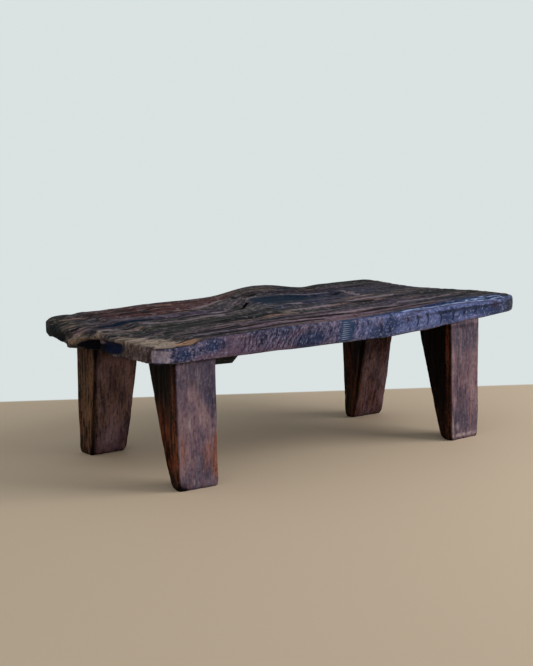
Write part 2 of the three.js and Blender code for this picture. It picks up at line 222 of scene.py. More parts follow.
# Hollows in the left end, where the wood has broken and rotted away under the skin of the top:
# place across, height, reach across, reach up and depth.
end_hollows = [(290, 300, 22, 12, 22), (206, 307, 46, 11, 17), (410, 311, 60, 12, 6)]
column_y, column_z = edge[..., 1], edge[..., 2]
at_left = (rim_i == 0) | (rim_u < 0.01)
for mid, height, reach, reach_up, depth in end_hollows:
    hollow = bell((column_y - mid) / reach, 4) * bell((column_z - height) / reach_up, 4)
    edge[..., 0] += np.where(at_left, depth * hollow, 0)
edge = far_lip_worn(edge, np.interp(section, [0.9, 2], [0, 1])[:, None])
edge = far_foot_worn(edge, np.interp(section, [0, 0.3, 0.7, 1.3], [1, 0.75, 0.35, 0])[:, None])
edge[2:] = tongue_lowered(edge[2:])
top_sheet = far_lip_worn(tongue_lowered(top_ring(grid_u, grid_v, 1, 0)), 1)
under_sheet = far_foot_worn(low_ring(grid_u[::2, ::2], grid_v[::2, ::2], 1, 0), 1)
points, faces = [], []


def keep_points(array):
    """Adds points to the mesh and gives their numbers in the array's own shape."""
    start = sum(len(p) for p in points)
    points.append(array.reshape(-1, 3))
    return start + np.arange(array.size // 3).reshape(array.shape[:-1])


def quads(*corners):
    faces.extend(np.stack([corner.ravel() for corner in corners], -1).tolist())


edge_numbers = keep_points(edge)
top_all = np.zeros(grid_u.shape, int)
top_all[1:-1, 1:-1] = top_numbers = keep_points(top_sheet[1:-1, 1:-1])
top_all[rim_j, rim_i] = edge_numbers[-1]
quads(top_all[:-1, :-1], top_all[:-1, 1:], top_all[1:, 1:], top_all[1:, :-1])
round_next = np.roll(edge_numbers, -1, axis=1)
quads(edge_numbers[:-1], round_next[:-1], round_next[1:], edge_numbers[1:])

# The underside's grid is half as fine, so its outer cells carry the rim's extra points.
under_all = np.zeros(under_sheet.shape[:2], int)
under_all[1:-1, 1:-1] = keep_points(under_sheet[1:-1, 1:-1])
rim_number = {(j, i): int(edge_numbers[0][k]) for k, (j, i) in enumerate(rim)}
for (j, i), number in rim_number.items():
    if j % 2 == 0 and i % 2 == 0:
        under_all[j // 2, i // 2] = number
for j in range(under_all.shape[0] - 1):
    for i in range(under_all.shape[1] - 1):
        loop = []
        for (a, b), (c, d) in (((j, i), (j + 1, i)), ((j + 1, i), (j + 1, i + 1)),
                               ((j + 1, i + 1), (j, i + 1)), ((j, i + 1), (j, i))):
            loop.append(int(under_all[a, b]))
            between = rim_number.get((a + c, b + d))
            if between is not None:
                loop.append(between)
        faces.append(loop)

slab_points = np.vstack(points)
slab_points[:, :2] += slab_origin


def mesh_object(name, points_mm, faces):
    """A mesh object at the origin from points in mm and faces that point outwards."""
    mesh = bpy.data.meshes.new(name)
    mesh.from_pydata((np.asarray(points_mm) * MM).tolist(), [], faces)
    mesh.validate()
    piece = bpy.data.objects.new(name, mesh)
    bpy.context.scene.collection.objects.link(piece)
    return piece


slab = mesh_object("slab", slab_points, faces)

# Grain. Four guide lines over the plan, each a fibre that can be followed right through the plank:
# the front edge, a row of small pits, the long split with the rim of the hollow behind it, and the
# back edge. Between them the fibres spread evenly, and they part a little round each knot.
pit_line = [(-600, -128), (-450, -134), (-275, -140), (-185, -133), (-120, -104), (-40, -118), (60, -112),
            (250, -88), (600, -92)]
split_line = [(-600, 24), (-515, 27), (-440, 24), (-350, 22), (-280, -2), (-215, -18), (-160, -6),
              (-110, 22), (-76, 58), (-45, 94), (0, 150), (60, 178), (120, 158), (200, 124), (300, 112),
              (600, 118)]
guide_across = [0.0, 170.0, 330.0, 540.0]
knots = [(-62, 76, 14), (282, 104, 15), (-30, -119, 7), (108, -296, 13), (430, 40, 9)]
knot_stretch = 2.4
front_run, back_run = ((line(np.linspace(0, 1, 400)) + slab_origin).T for line in (front_line, back_line))


def grain_across(x, y):
    """How far across the grain each place lies, in mm from the front edge."""
    guides = [np.interp(np.maximum(x, -430), *front_run), np.interp(x, *np.transpose(pit_line)),
              np.interp(x, *np.transpose(split_line)), np.interp(x, *back_run)]
    place = guide_across[0] + (y - guides[0])
    for k in range(3):
        share = (y - guides[k]) / (guides[k + 1] - guides[k])
        reach = guide_across[k + 1] - guide_across[k]
        place = np.where(share > 0, guide_across[k] + share * reach, place)
    for at_x, at_y, radius in knots:
        dx, dy = (x - at_x) / knot_stretch, y - at_y
        place -= dy * radius ** 2 / np.maximum(dx ** 2 + dy ** 2, (0.8 * radius) ** 2)
    return place


def distance(line, x, y):
    """Distance from a broken line in the plan."""
    best = np.full(x.shape, 1e9)
    for (ax, ay), (bx, by) in zip(line, line[1:]):
        length = math.hypot(bx - ax, by - ay)
        ux, uy = (bx - ax) / length, (by - ay) / length
        t = np.clip((x - ax) * ux + (y - ay) * uy, 0, length)
        best = np.minimum(best, np.hypot(x - ax - t * ux, y - ay - t * uy))
    return best


def along_line(line, x, fade, start):
    """1 along a line, fading to a start value at its ends."""
    return np.clip(np.minimum(x - line[0][0], line[-1][0] - x) / fade + start, 0, 1)


def give(mesh, name, values):
    """Keeps one number or one vector for each point of the mesh under a name."""
    values = np.asarray(values, float)
    kind = "FLOAT_VECTOR" if values.ndim == 2 else "FLOAT"
    layer = mesh.attributes.new(name, kind, "POINT")
    layer.data.foreach_set("vector" if values.ndim == 2 else "value", values.ravel())


x, y, z = slab_points.T
on_rim = slice(0, edge_numbers.size)
fibre_place = grain_across(x, y)
on_top = z > slab_under + 0.55 * slab_thick
upper_part = z > slab_under + 0.6 * slab_thick
give(slab.data, "grain", np.stack([x, fibre_place, z], -1) * MM)

# How much each point belongs to the hewn edge, to its worn upper arris, which widens into a bevel
# towards the right, and to the pale corner that was clipped off at the front left.
hewn_edge, arris, clipped, under_arris = np.zeros((4, len(slab_points)))
hewn_edge[on_rim] = rim_marks(np.interp(section, [0, 0.6, 1, 2, 2.6, 4], [0, 1, 1, 1, 0.8, 0]))
arris[on_rim] = bell((section[:, None] - 2.1 - 1.1 * rim_u ** 2) / (0.32 + 1.1 * rim_u ** 2)).ravel()
clip_long, clip_wide = 0.0615 * slab_long, 0.058 * slab_wide
rim_x, rim_y = edge[section.searchsorted(1.5), :, :2].T
on_clipped = (rim_x < clip_long) & (rim_y < clip_wide)
on_clipped = on_clipped * part_way(np.abs(rim_x / clip_long - 0.5), 0.5, 0.33)
clipped[on_rim] = (on_clipped * np.interp(section, [0.2, 0.7, 1.9, 2.4], [0, 1, 1, 0])[:, None]).ravel()
under_arris[on_rim] = rim_marks(bell((section - 1.86) / 0.14))
give(slab.data, "hewn_edge", hewn_edge)
give(slab.data, "clipped", clipped)

# Splits and the small black pits, with their width and depth.
splits = [(split_line[1:10], 3.5, 7.0),
          ([(-150, 132), (-79, 172), (-15, 182), (40, 196), (72, 206)], 4.0, 5.0),
          ([(-450, -134), (-275, -140), (-185, -133), (-120, -104)], 2.5, 3.5),
          ([(-136, 2), (-110, 18), (-70, 62), (-27, 110)], 5.5, 10.0),
          ([(244, 86), (262, 98), (284, 94)], 7.0, 8.0), ([(-60, -142), (-36, -130)], 7.0, 6.0),
          ([(60, -92), (250, -82)], 3.0, 3.0), ([(60, -222), (330, -196), (420, -178)], 3.5, 3.0),
          ([(-400, -198), (-240, -196)], 3.0, 2.5), ([(-440, 118), (-330, 122), (-260, 112)], 3.0, 2.5),
          ([(-360, -62), (-200, -82), (-90, -60)], 3.0, 2.5)]
split_cut, split_black = np.zeros((2, len(x)))
for line, width, depth in splits:
    off = distance(line, x, y) / width
    split_cut = np.maximum(split_cut, depth * along_line(line, x, 30, 0.6) * bell(off) * on_top)
    split_black = np.maximum(split_black, min(1, depth / 7) * bell(off / 0.8, 4) * on_top)
split_cut += 4.0 * on_top * bell((x - 90) / 110) * bell((fibre_place - 296) / 34)
give(slab.data, "split_cut", split_cut * MM)
give(slab.data, "split_black", split_black)

# The underside is only roughed out, and is left flat where a leg or the batten is seated: middle and
# half size of each seat.
calm = np.ones(len(x))
calm[under_all[1:-1, 1:-1].ravel()] = 0.5
inside_v = np.minimum(grid_v, 1 - grid_v)[1:-1, 1:-1] * slab_wide
inside_u = (1 - grid_u)[1:-1, 1:-1] * slab_long
calm[top_numbers.ravel()] = np.clip(0.3 + np.minimum(inside_v, inside_u) / 45, 0.3, 1).ravel()
calm[on_rim] = np.where(np.broadcast_to(rim_u < 0.02, edge.shape[:2]), 0.7, 0.3).ravel()
seats = [(-461, -237, 64, 60), (360, -230, 66, 66), (-427, 137, 67, 54), (354, 67, 62, 60),
         (-333, -41, 74, 216)]
for at_x, at_y, half_x, half_y in seats:
    off = np.maximum(np.abs(x - at_x) - half_x, np.abs(y - at_y) - half_y)
    calm = np.where(z < 317, np.minimum(calm, part_way(off, 0, 12)), calm)
give(slab.data, "calm", calm)

# Where the adze was dragged in close slanting strokes along the front face, and where it chattered.
strokes = np.interp(x, [-560, -480, -400, -330, -150, -60, 40, 560],
                    [0.35, 0.3, 0.35, 1, 0.9, 0.35, 0.3, 0.35])
chatter = bell((x + 0.12 * (320 - z) + 32) / 21, 6) * np.interp(x, [-46, -26, -8], [1, 0.8, 0.5])
give(slab.data, "strokes", strokes * hewn_edge)
give(slab.data, "chatter", chatter * hewn_edge * (y < -250))

# Long dark and pale lines that can be followed along the top, with their half width.
top_lines = {
    "line_dark": [
        ([(-530, 26), (-490, 32), (-450, 28), (-414, 26), (-380, 14), (-336, 0), (-300, -6)], 13),
        ([(-126, 30), (-84, 68)], 8),
        ([(-322, -26), (-278, -31), (-226, -36), (-182, -21), (-136, 4), (-94, 38), (-22, 104)], 10),
        ([(-364, -120), (-315, -125), (-267, -132), (-228, -115), (-185, -94), (-134, -70), (-60, -38)], 9),
        ([(-440, -142), (-280, -150), (-190, -140)], 7), ([(56, 116), (74, 88), (72, 30), (104, 20)], 12),
        ([(-396, 131), (-323, 137), (-288, 156), (-236, 150)], 7),
        ([(-211, -190), (-124, -166), (-60, -174), (43, -158)], 7), ([(-440, -204), (-280, -208)], 7),
        ([(-260, -214), (-60, -206)], 6),
        ([(-450, -230), (-180, -221), (-50, -217), (60, -222), (160, -206), (250, -194), (330, -176),
          (480, -158)], 7),
        ([(-440, -262), (-160, -262), (-60, -254)], 8), ([(60, -254), (200, -236), (330, -214)], 7),
        ([(90, -78), (140, -71), (200, -82), (242, -86)], 10), ([(-20, 184), (40, 195), (72, 206)], 8),
        ([(235, 84), (262, 100), (284, 92)], 13),
        ([(8, 146), (44, 150), (72, 126), (112, 120), (150, 110)], 14),
        ([(120, -140), (170, -118), (260, -110)], 6), ([(300, 20), (420, 30), (520, 24)], 8),
        ([(330, 150), (430, 168), (520, 176)], 9), ([(-460, 170), (-330, 176)], 8),
        ([(-340, 132), (-310, 116)], 9), ([(400, -60), (470, -70), (560, -84)], 8),
        ([(480, -150), (520, -134), (572, -120)], 9), ([(10, 30), (60, 60), (150, 90)], 12),
        ([(-430, -80), (-330, -96), (-240, -100)], 7)],
    "line_pale": [
        ([(-430, -240), (-250, -233), (-150, -232), (-60, -226)], 7),
        ([(-20, -212), (60, -206), (150, -190), (235, -180)], 8),
        ([(-430, -24), (-330, -57), (-220, -62)], 8),
        ([(-272, 78), (-180, 98), (-120, 128), (-60, 168)], 8), ([(0, 164), (60, 188)], 7),
        ([(264, -12), (268, 36), (296, 114)], 11), ([(-322, -8), (-226, -16), (-170, 8)], 8),
        ([(-540, -14), (-500, -30), (-470, -70)], 8), ([(-34, 90), (12, 104)], 6),
        ([(-50, -95), (60, -88), (200, -62), (330, -52)], 8), ([(-20, 20), (20, 0), (60, -10)], 10),
        ([(120, 165), (190, 132), (240, 116)], 9), ([(260, -150), (380, -140), (470, -120)], 8),
        ([(-440, 60), (-330, 66), (-250, 44)], 7)]}
for name, table in top_lines.items():
    total = np.zeros(len(x))
    for line, width in table:
        mark = along_line(line, x, 24, 0.7) * bell(distance(line, x, y) / (0.8 * width)) * on_top
        total = np.maximum(total, mark)
    give(slab.data, name, total)

# The worn strip along the front of the top, which widens to the right, where its colour is a painted
# reflection of the sky, and the pale ridge, a painted highlight, and the dark line where it ends over the
# front face.
front_off = y - np.interp(x, *front_run)
face_reach = np.interp(x, [-600, 60, 200, 330, 430, 520], [4, 4, 14, 26, 18, 6])
reach = np.interp(x, [-120, 20, 170, 330, 450, 560], [5, 14, 44, 84, 100, 100])
sky_sheen = np.clip((reach - front_off) / (0.4 * reach), 0, 1) * part_way(front_off - face_reach, -8, 4)
sky_sheen *= part_way(x, -120, 140) * (1 - 0.85 * part_way(x, 545, 575))
sky_sheen *= np.clip((z - np.interp(x, [495, 520], [330, 342])) / 4, 0, 1)
on_front = (y < 0) * upper_part * part_way(x, 40, 200)
arris *= 1 - part_way(x, 120, 240) * (y < 0) * part_way(face_reach - front_off, -3, 3)
arris *= 1 - 0.8 * part_way(x, -545, -560) * part_way(y, 40, 70)
give(slab.data, "sky_sheen", sky_sheen * (z > slab_under + 0.8 * slab_thick))
give(slab.data, "ridge", on_front * part_way(x, 515, 500) * bell((front_off - face_reach - 4) / 7))
give(slab.data, "under_ridge", on_front * part_way(x, 500, 488) * bell((front_off - face_reach + 9) / 6))
give(slab.data, "arris", arris)

# Marks on the front face: a swirl, deep short cuts by place, lower and upper end, and the dark notches
# under the arris at the right.
swirl = bell((np.hypot((x - 106) / 17, (z - 323) / 21) - 1) / 0.24)
cuts = [(-478, 300, 324), (-398, 306, 334), (-232, 326, 344), (24, 316, 340), (66, 300, 330),
        (92, 296, 320), (150, 312, 338), (184, 300, 340), (218, 300, 342), (262, 300, 344), (306, 306, 346),
        (346, 312, 344), (392, 318, 346), (436, 322, 346)]
face_marks = 0.5 * swirl * part_way(z, 318, 330)
for at_x, low_z, high_z in cuts:
    off = x - at_x - 8 * np.sin((z - low_z) / (high_z - low_z) * math.pi)
    face_marks += bell(off / 4) * part_way(z, low_z, low_z + 8) * part_way(z, high_z, high_z - 6)
face_marks += under_arris * np.interp(x, [180, 280, 500, 540], [0, 1, 1, 0.4])
# How much each point shows the front face, whose colour is lighter and bluer than the top's partly as
# painted light.
face = np.clip(1 - (front_off - face_reach) / 12, 0, 1)
face *= np.maximum(part_way(hewn_edge, 0.1, 0.6), upper_part * (x > 60))
far_end = part_way(x, 478, 538) * hewn_edge
give(slab.data, "face_marks", np.clip(face_marks, 0, 1) * (y < -150) * hewn_edge)
give(slab.data, "far_end", far_end)
give(slab.data, "face", np.clip(np.maximum(face, 0.8 * far_end), 0, 1))
give(slab.data, "rightward", part_way(x, -120, 300))


def spots(table, x, y, z, across=lambda at_x, at_y: at_y):
    """How strongly each point lies in some spots. A spot has a place, how far it reaches along the
    piece, across it and up, and a strength."""
    total = np.zeros(len(x))
    for at_x, at_y, at_z, rx, ry, rz, strength in table:
        off_y = y - across(at_x, at_y)
        total += strength * bell((x - at_x) / rx) * bell(off_y / ry) * bell((z - at_z) / rz)
    return np.clip(total, 0, 1)


def fibre_at(at_x, at_y):
    return grain_across(np.array([float(at_x)]), np.array([float(at_y)]))[0]


# Tints of the slab: what years of light, hands, dirt and damp have left, place by place, and some painted
# shade: the teal in the top's hollows, and the teal, black and blue-black in the undercut hollows of the
# left end and under its tongue.
slab_tints = {
    "ruddy": [(-290, 165, 345, 180, 64, 40, 1), (-70, 200, 345, 120, 44, 40, 0.7),
              (-330, 100, 345, 110, 24, 40, 0.8), (-330, -215, 340, 170, 30, 25, 0.5),
              (235, -40, 350, 60, 34, 30, 0.6), (-540, 120, 330, 30, 60, 14, 0.3)],
    "olive": [(-320, -90, 340, 170, 40, 30, 0.9), (-60, -100, 345, 90, 34, 30, 0.7),
              (-520, -60, 335, 60, 60, 20, 0.7), (-560, 140, 340, 50, 120, 14, 0.9),
              (360, -20, 350, 160, 34, 30, 0.6), (-130, 10, 345, 50, 60, 30, 0.8),
              (470, 190, 350, 120, 50, 30, 0.5), (90, 250, 350, 90, 30, 30, 0.7),
              (420, -130, 350, 130, 30, 30, 0.4)],
    "mauve": [(-300, -225, 345, 190, 50, 30, 0.7), (60, -215, 345, 240, 56, 30, 1),
              (300, -150, 350, 180, 44, 30, 0.7), (-270, 0, 345, 130, 34, 30, 0.9),
              (400, 90, 350, 200, 90, 30, 0.6), (-430, 90, 345, 60, 60, 30, 0.4),
              (100, -40, 345, 120, 40, 30, 0.4)],
    "blue": [(150, 90, 345, 150, 70, 40, 0.9), (300, 110, 350, 120, 60, 30, 0.5),
             (-60, -50, 345, 40, 20, 30, 0.7), (420, -190, 350, 150, 40, 30, 0.9),
             (-130, 70, 345, 60, 30, 30, 0.4), (60, 40, 345, 60, 40, 30, 0.7)],
    "teal": [(76, 148, 340, 70, 22, 60, 1.2), (134, 122, 345, 54, 16, 60, 0.9),
             (-462, 29, 340, 50, 9, 60, 1.2), (-400, 22, 340, 40, 8, 60, 0.9),
             (195, 208, 345, 36, 30, 40, 1), (40, 50, 345, 30, 36, 40, 0.5)],
    "dusk": [(-520, 140, 335, 70, 100, 20, 0.9), (-160, -103, 345, 100, 46, 30, 0.5),
             (450, 60, 350, 150, 110, 30, 0.5), (500, -110, 347, 80, 40, 30, 0.8),
             (-160, -100, 345, 110, 60, 30, 0.75)],
    "pink": [(0, -236, 345, 240, 40, 30, 1.25), (-60, -150, 345, 120, 14, 30, 0.4),
             (-570, 30, 322, 30, 16, 14, 0.7)],
    "orange": [(-592, 14, 306, 14, 20, 10, 0.4), (-477, -277, 332, 26, 21, 16, 1.25),
               (-222, 188, 345, 40, 16, 40, 0.45), (-292, 150, 345, 50, 12, 40, 0.4),
               (256, 40, 350, 20, 24, 30, 0.2), (228, -56, 350, 40, 18, 30, 0.1),
               (-120, -120, 345, 40, 12, 30, 0.4)],
    "tan": [(-542, -160, 330, 28, 50, 16, 1.4), (-518, -225, 330, 40, 42, 16, 1.4),
            (-520, -268, 330, 26, 20, 16, 1), (-585, 16, 312, 40, 26, 13, 1),
            (-552, -30, 330, 14, 16, 16, 0.8), (-60, -112, 345, 34, 14, 30, 0.6),
            (296, 76, 350, 14, 22, 30, 0.3), (60, 176, 345, 60, 7, 30, 0.5)],
    "face_blue": [(-500, -297, 311, 26, 20, 22, 1), (-425, -297, 322, 30, 20, 18, 1),
                  (-215, -297, 337, 26, 20, 12, 0.9), (-150, -297, 308, 44, 20, 22, 0.9),
                  (-20, -297, 336, 20, 20, 17, 1.6), (-36, -297, 312, 20, 20, 18, 0.7),
                  (104, -297, 326, 14, 20, 18, 1.3), (60, -297, 305, 40, 20, 18, 0.6),
                  (150, -297, 320, 40, 20, 24, 0.6), (290, -290, 325, 30, 30, 24, 0.9),
                  (370, -290, 330, 40, 40, 20, 0.6), (435, -270, 328, 40, 60, 18, 0.9),
                  (480, -240, 322, 30, 60, 12, 1.2)],
    "face_pink": [(-440, -297, 297, 40, 20, 9, 0.9), (-360, -297, 318, 44, 20, 26, 0.9),
                  (-180, -297, 328, 34, 20, 14, 0.7), (-270, -297, 312, 70, 20, 16, 0.5),
                  (70, -297, 330, 30, 20, 16, 0.4), (390, -280, 300, 60, 30, 9, 0.6),
                  (-240, -297, 297, 200, 20, 7, 0.6), (-550, -215, 310, 20, 50, 18, 0.5)],
    "end_brown": [(-560, -205, 308, 26, 70, 18, 1.2), (-575, 80, 322, 22, 60, 8, 0.5)],
    "end_teal": [(-596, 165, 309, 22, 76, 16, 1.7), (-585, 110, 308, 30, 44, 17, 1.5),
                 (-580, 205, 308, 40, 34, 20, 1.5)],
    "end_rows": [(-580, 160, 326, 44, 90, 26, 1.9), (-590, 12, 310, 30, 30, 14, 0.6),
                 (560, -150, 330, 40, 60, 40, 0.6), (-568, 70, 322, 30, 50, 26, 1.2),
                 (-550, -150, 318, 20, 60, 20, 0.9)],
    "black": [(-600, 14, 296, 30, 40, 7, 0.25), (-560, -12, 300, 60, 26, 13, 1.3),
              (-560, -105, 303, 22, 50, 13, 1), (-590, 118, 303, 22, 90, 11, 0.8),
              (-556, -45, 292, 30, 30, 8, 0.9), (-556, -60, 296, 20, 30, 10, 0.8)],
    "deep_shade": [(-556, -110, 308, 20, 46, 13, 1.3), (-590, 165, 305, 20, 40, 14, 0.9),
            (-575, 30, 302, 20, 16, 8, 0.9), (-556, -70, 306, 16, 14, 10, 0.7)]}
for name, table in slab_tints.items():
    give(slab.data, name, spots(table, x, fibre_place, z, fibre_at))


def linear(value):
    """Linear colour from an sRGB hex value."""
    channels = [(value >> shift & 255) / 255 for shift in (16, 8, 0)]
    return [c / 12.92 if c <= 0.04045 else ((c + 0.055) / 1.055) ** 2.4 for c in channels] + [1.0]


def put(tree, node, inputs):
    """Sets the inputs of a node, or links them where what they get comes from another node."""
    for key, value in inputs.items():
        if isinstance(value, bpy.types.NodeSocket):
            tree.links.new(value, node.inputs[key])
        else:
            node.inputs[key].default_value = value


def add(tree, kind, *values, at=(), out=0, stops=(), **named):
    """Adds a node to a tree, with values or links for its inputs by order, place or name, its
    settings, and the stops of its colour ramp. Gives one of its outputs, or all of them."""
    kind, *operation = kind.split()
    node = tree.nodes.new(kind if "Node" in kind else "ShaderNode" + kind)
    for setting in operation:
        node.operation = setting
    for name in [name for name in named if name[0].islower()]:
        setattr(node, name, named.pop(name))
    for share, shade in stops:
        node.color_ramp.elements.new(share).color = linear(shade)
    for spare in (0, -1) if stops else ():
        node.color_ramp.elements.remove(node.color_ramp.elements[spare])
    put(tree, node, dict(enumerate(values)) | dict(at) | named)
    return node.outputs if out is None else node.outputs[out]


def hewn_surface():
    """Geometry Nodes tree that weathers furrows along the grain and leaves the adze's strokes."""
    tree = bpy.data.node_groups.new("hewn_surface", "GeometryNodeTree")
    tree.interface.new_socket("Geometry", in_out="INPUT", socket_type="NodeSocketGeometry")
    for name, value in (("Furrow depth", 0.0042), ("Furrow width", 0.034), ("Furrow length", 0.55),
                        ("Fine depth", 0.0018), ("Fine width", 0.011), ("Fine length", 0.22),
                        ("Swale depth", 0.003), ("Swale width", 0.14), ("Stroke depth", 0.0022),
                        ("Stroke spacing", 0.0125), ("Chatter depth", 0.0014), ("Chatter spacing", 0.005)):
        socket = tree.interface.new_socket(name, in_out="INPUT", socket_type="NodeSocketFloat")
        socket.default_value = value
    tree.interface.new_socket("Material", in_out="INPUT", socket_type="NodeSocketMaterial")
    tree.interface.new_socket("Geometry", in_out="OUTPUT", socket_type="NodeSocketGeometry")
    given = add(tree, "NodeGroupInput", out=None)
    grain = add(tree, "GeometryNodeInputNamedAttribute", Name="grain", data_type="FLOAT_VECTOR")
    kept = {name: add(tree, "GeometryNodeInputNamedAttribute", Name=name, data_type="FLOAT")
            for name in ("hewn_edge", "calm", "strokes", "chatter", "split_cut")}
    position = add(tree, "GeometryNodeInputPosition")

    # Long furrows with narrow grooves between them, then finer ones, then broad swales.
    waves = {}
    for name, detail in (("Furrow", 2.0), ("Fine", 3.0)):
        width = given[name + " width"]
        size = add(tree, "CombineXYZ", given[name + " length"], width, width)
        at = add(tree, "VectorMath DIVIDE", grain, size)
        waves[name] = add(tree, "TexNoise", Vector=at, Scale=1.0, Detail=detail)
    scale = add(tree, "Math DIVIDE", 1.0, given["Swale width"])
    waves["Swale"] = add(tree, "TexNoise", Vector=position, Scale=scale, Detail=1.0)
    rise = {name: add(tree, "MapRange", wave, 0.32, 0.68, -0.5, 0.5) for name, wave in waves.items()}
    flat = add(tree, "MapRange", kept["hewn_edge"], 0.0, 1.0, 1.0, 0.2)
    off = add(tree, "Math SUBTRACT", waves["Furrow"], 0.5)
    off = add(tree, "Math ABSOLUTE", off)
    groove = add(tree, "MapRange", off, 0.0, 0.035, -0.55, 0.0)
    furrow = add(tree, "Math ADD", rise["Furrow"], groove)
    low = add(tree, "MapRange", furrow, 0.25, -0.65)
    low = add(tree, "Math MULTIPLY", low, flat)
    height = add(tree, "Math MULTIPLY", furrow, given["Furrow depth"])
    for name in ("Fine", "Swale"):
        height = add(tree, "Math MULTIPLY_ADD", rise[name], given[name + " depth"], height)
    height = add(tree, "Math MULTIPLY", height, flat)
    height = add(tree, "Math MULTIPLY", height, kept["calm"])

    # Slanting adze strokes and chatter marks on the edges, and the splits, all cut inwards.
    place = add(tree, "SeparateXYZ", position, out=None)
    wander = add(tree, "TexNoise", Vector=position, Scale=26.0, Detail=1.0)
    slant = add(tree, "Math MULTIPLY_ADD", place[2], -0.5, place[0])
    slant = add(tree, "Math MULTIPLY_ADD", place[1], 0.9, slant)
    slant = add(tree, "Math DIVIDE", slant, given["Stroke spacing"])
    slant = add(tree, "Math MULTIPLY_ADD", wander, 4.0, slant)
    stroke = add(tree, "Math PINGPONG", slant, 0.5)
    stroke = add(tree, "MapRange", stroke, 0.0, 0.5, 1.0, 0.0)
    stroke = add(tree, "Math MULTIPLY", stroke, kept["strokes"])
    tooth = add(tree, "Math DIVIDE", place[2], given["Chatter spacing"])
    tooth = add(tree, "Math PINGPONG", tooth, 0.5)
    tooth = add(tree, "Math MULTIPLY", tooth, kept["chatter"])
    for cut, depth in ((stroke, given["Stroke depth"]), (tooth, given["Chatter depth"]),
                       (kept["split_cut"], 1.0)):
        cut = add(tree, "Math MULTIPLY", cut, depth)
        height = add(tree, "Math SUBTRACT", height, cut)

    normal = add(tree, "GeometryNodeInputNormal")
    offset = add(tree, "VectorMath SCALE", normal, Scale=height)
    made = given["Geometry"]
    for name, value in (("low", low), ("stroke", stroke)):
        made = add(tree, "GeometryNodeStoreNamedAttribute", Geometry=made, Name=name, Value=value,
                   data_type="FLOAT", domain="POINT")
    made = add(tree, "GeometryNodeSetPosition", Geometry=made, Offset=offset)
    made = add(tree, "GeometryNodeRealizeInstances", Geometry=made)
    made = add(tree, "GeometryNodeSetMaterial", Geometry=made, Material=given["Material"])
    add(tree, "NodeGroupOutput", Geometry=made, out=None)
    return tree


hewn = hewn_surface()


def hew(piece, name, material, node, slot_name, crisp, **sizes):
    """Runs the hewn surface over a blank, keeps it as a plain mesh inside the frame's box, with the
    arrises sharper than some angle left crisp, and lets it stand for its node."""
    modifier = piece.modifiers.new("hewn_surface", "NODES")
    modifier.node_group = hewn
    for item in hewn.interface.items_tree:
        if item.in_out == "INPUT" and item.name in sizes:
            modifier[item.identifier] = sizes[item.name]
        elif item.in_out == "INPUT" and item.name == "Material":
            modifier[item.identifier] = material
    graph = bpy.context.evaluated_depsgraph_get()
    mesh = bpy.data.meshes.new_from_object(piece.evaluated_get(graph))
    piece.modifiers.remove(modifier)
    piece.data = mesh
    piece.name = mesh.name = name
    points = np.zeros(len(mesh.vertices) * 3)
    mesh.vertices.foreach_get("co", points)
    points = np.clip(points.reshape(-1, 3), cad_box[0], cad_box[1])
    mesh.vertices.foreach_set("co", points.ravel())
    mesh.polygons.foreach_set("use_smooth", [True] * len(mesh.polygons))
    mesh.update()
    mesh.set_sharp_from_angle(angle=math.radians(crisp))
    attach(piece, "root")
    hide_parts(node)


def finish(name):
    """A new material with its tree and its shader."""
    material = bpy.data.materials.new(name)
    material.use_nodes = True
    return material, material.node_tree, material.node_tree.nodes["Principled BSDF"]


def fibres(tree, place, grain_axis, *sizes):
    """Noises drawn out along the grain, from their length and width in mm and their detail."""
    for length_mm, width_mm, detail in sizes:
        scale = [1000 / width_mm] * 3
        scale[grain_axis] = 1000 / length_mm
        at = add(tree, "VectorMath MULTIPLY", place, scale)
        yield add(tree, "TexNoise", Vector=at, Scale=1.0, Detail=detail, Roughness=0.6)


def wash(tree, colour, *layers):
    """Lays colours over a colour. Each has a measure, where on it the colour starts to show and where
    it is full, the colour itself, and how much of it shows then."""
    for measure, start, full, over, most in layers:
        amount = add(tree, "MapRange", measure, start, full, 0.0, most)
        over = linear(over) if isinstance(over, int) else over
        colour = add(tree, "Mix", at={0: amount, 6: colour, 7: over}, out=2, data_type="RGBA")
    return colour


def stain(tree, colour, noise, gain, start, full, *marks):
    """Lays colours over a colour where the piece keeps marks, whose borders a noise breaks up."""
    for name, over, most in marks:
        mark = add(tree, "Attribute", out="Fac", attribute_name=name)
        broken = add(tree, "Math MULTIPLY_ADD", noise, gain, mark)
        colour = wash(tree, colour, (broken, start, full, over, most))
    return colour


# Dense dark hardwood, hewn, oiled by hands and greyed by dust: a dull brown-grey ground, streaked
# along the grain, with dirt and painted shade in its furrows, and on the adzed edge a bluish bloom where
# it was rubbed, lighter than the top partly as painted light. The widest streaks are as wide as they need
# to be to show on a top seen this flat.
slab_wood, tree, shader = finish("hewn_hardwood_slab")
place = add(tree, "TexCoord", out="Object")
grain = add(tree, "Attribute", out="Vector", attribute_name="grain")
rightward, low, tan, strokes, far_end, stroke, chatter, sky_sheen, arris, end_rows, split_black = (
    add(tree, "Attribute", out="Fac", attribute_name=name)
    for name in ("rightward", "low", "tan", "strokes", "far_end", "stroke", "chatter", "sky_sheen", "arris",
                 "end_rows", "split_black"))
drift, hue, band, thread, speck, fibre = fibres(
    tree, grain, 0, (900, 70, 3), (330, 46, 3), (420, 20, 3), (240, 11, 2), (14, 12, 2), (60, 3, 2))
patch = add(tree, "TexNoise", Vector=place, Scale=11.0, Detail=5.0, Roughness=0.65)
colour = add(tree, "ValToRGB", drift, stops=((0.4, 0x18181F), (0.46, 0x362828), (0.5, 0x312B30),
                                             (0.55, 0x413A3A), (0.61, 0x524A4B)))
colour = wash(tree, colour, (hue, 0.53, 0.6, 0x4E3E50, 0.7), (hue, 0.47, 0.4, 0x323735, 0.6),
              (band, 0.55, 0.64, 0x706264, 0.3), (band, 0.47, 0.4, 0x0C0C14, 0.6),
              (thread, 0.55, 0.63, 0x8A7C80, 0.4), (thread, 0.48, 0.4, 0x08080E, 0.75))
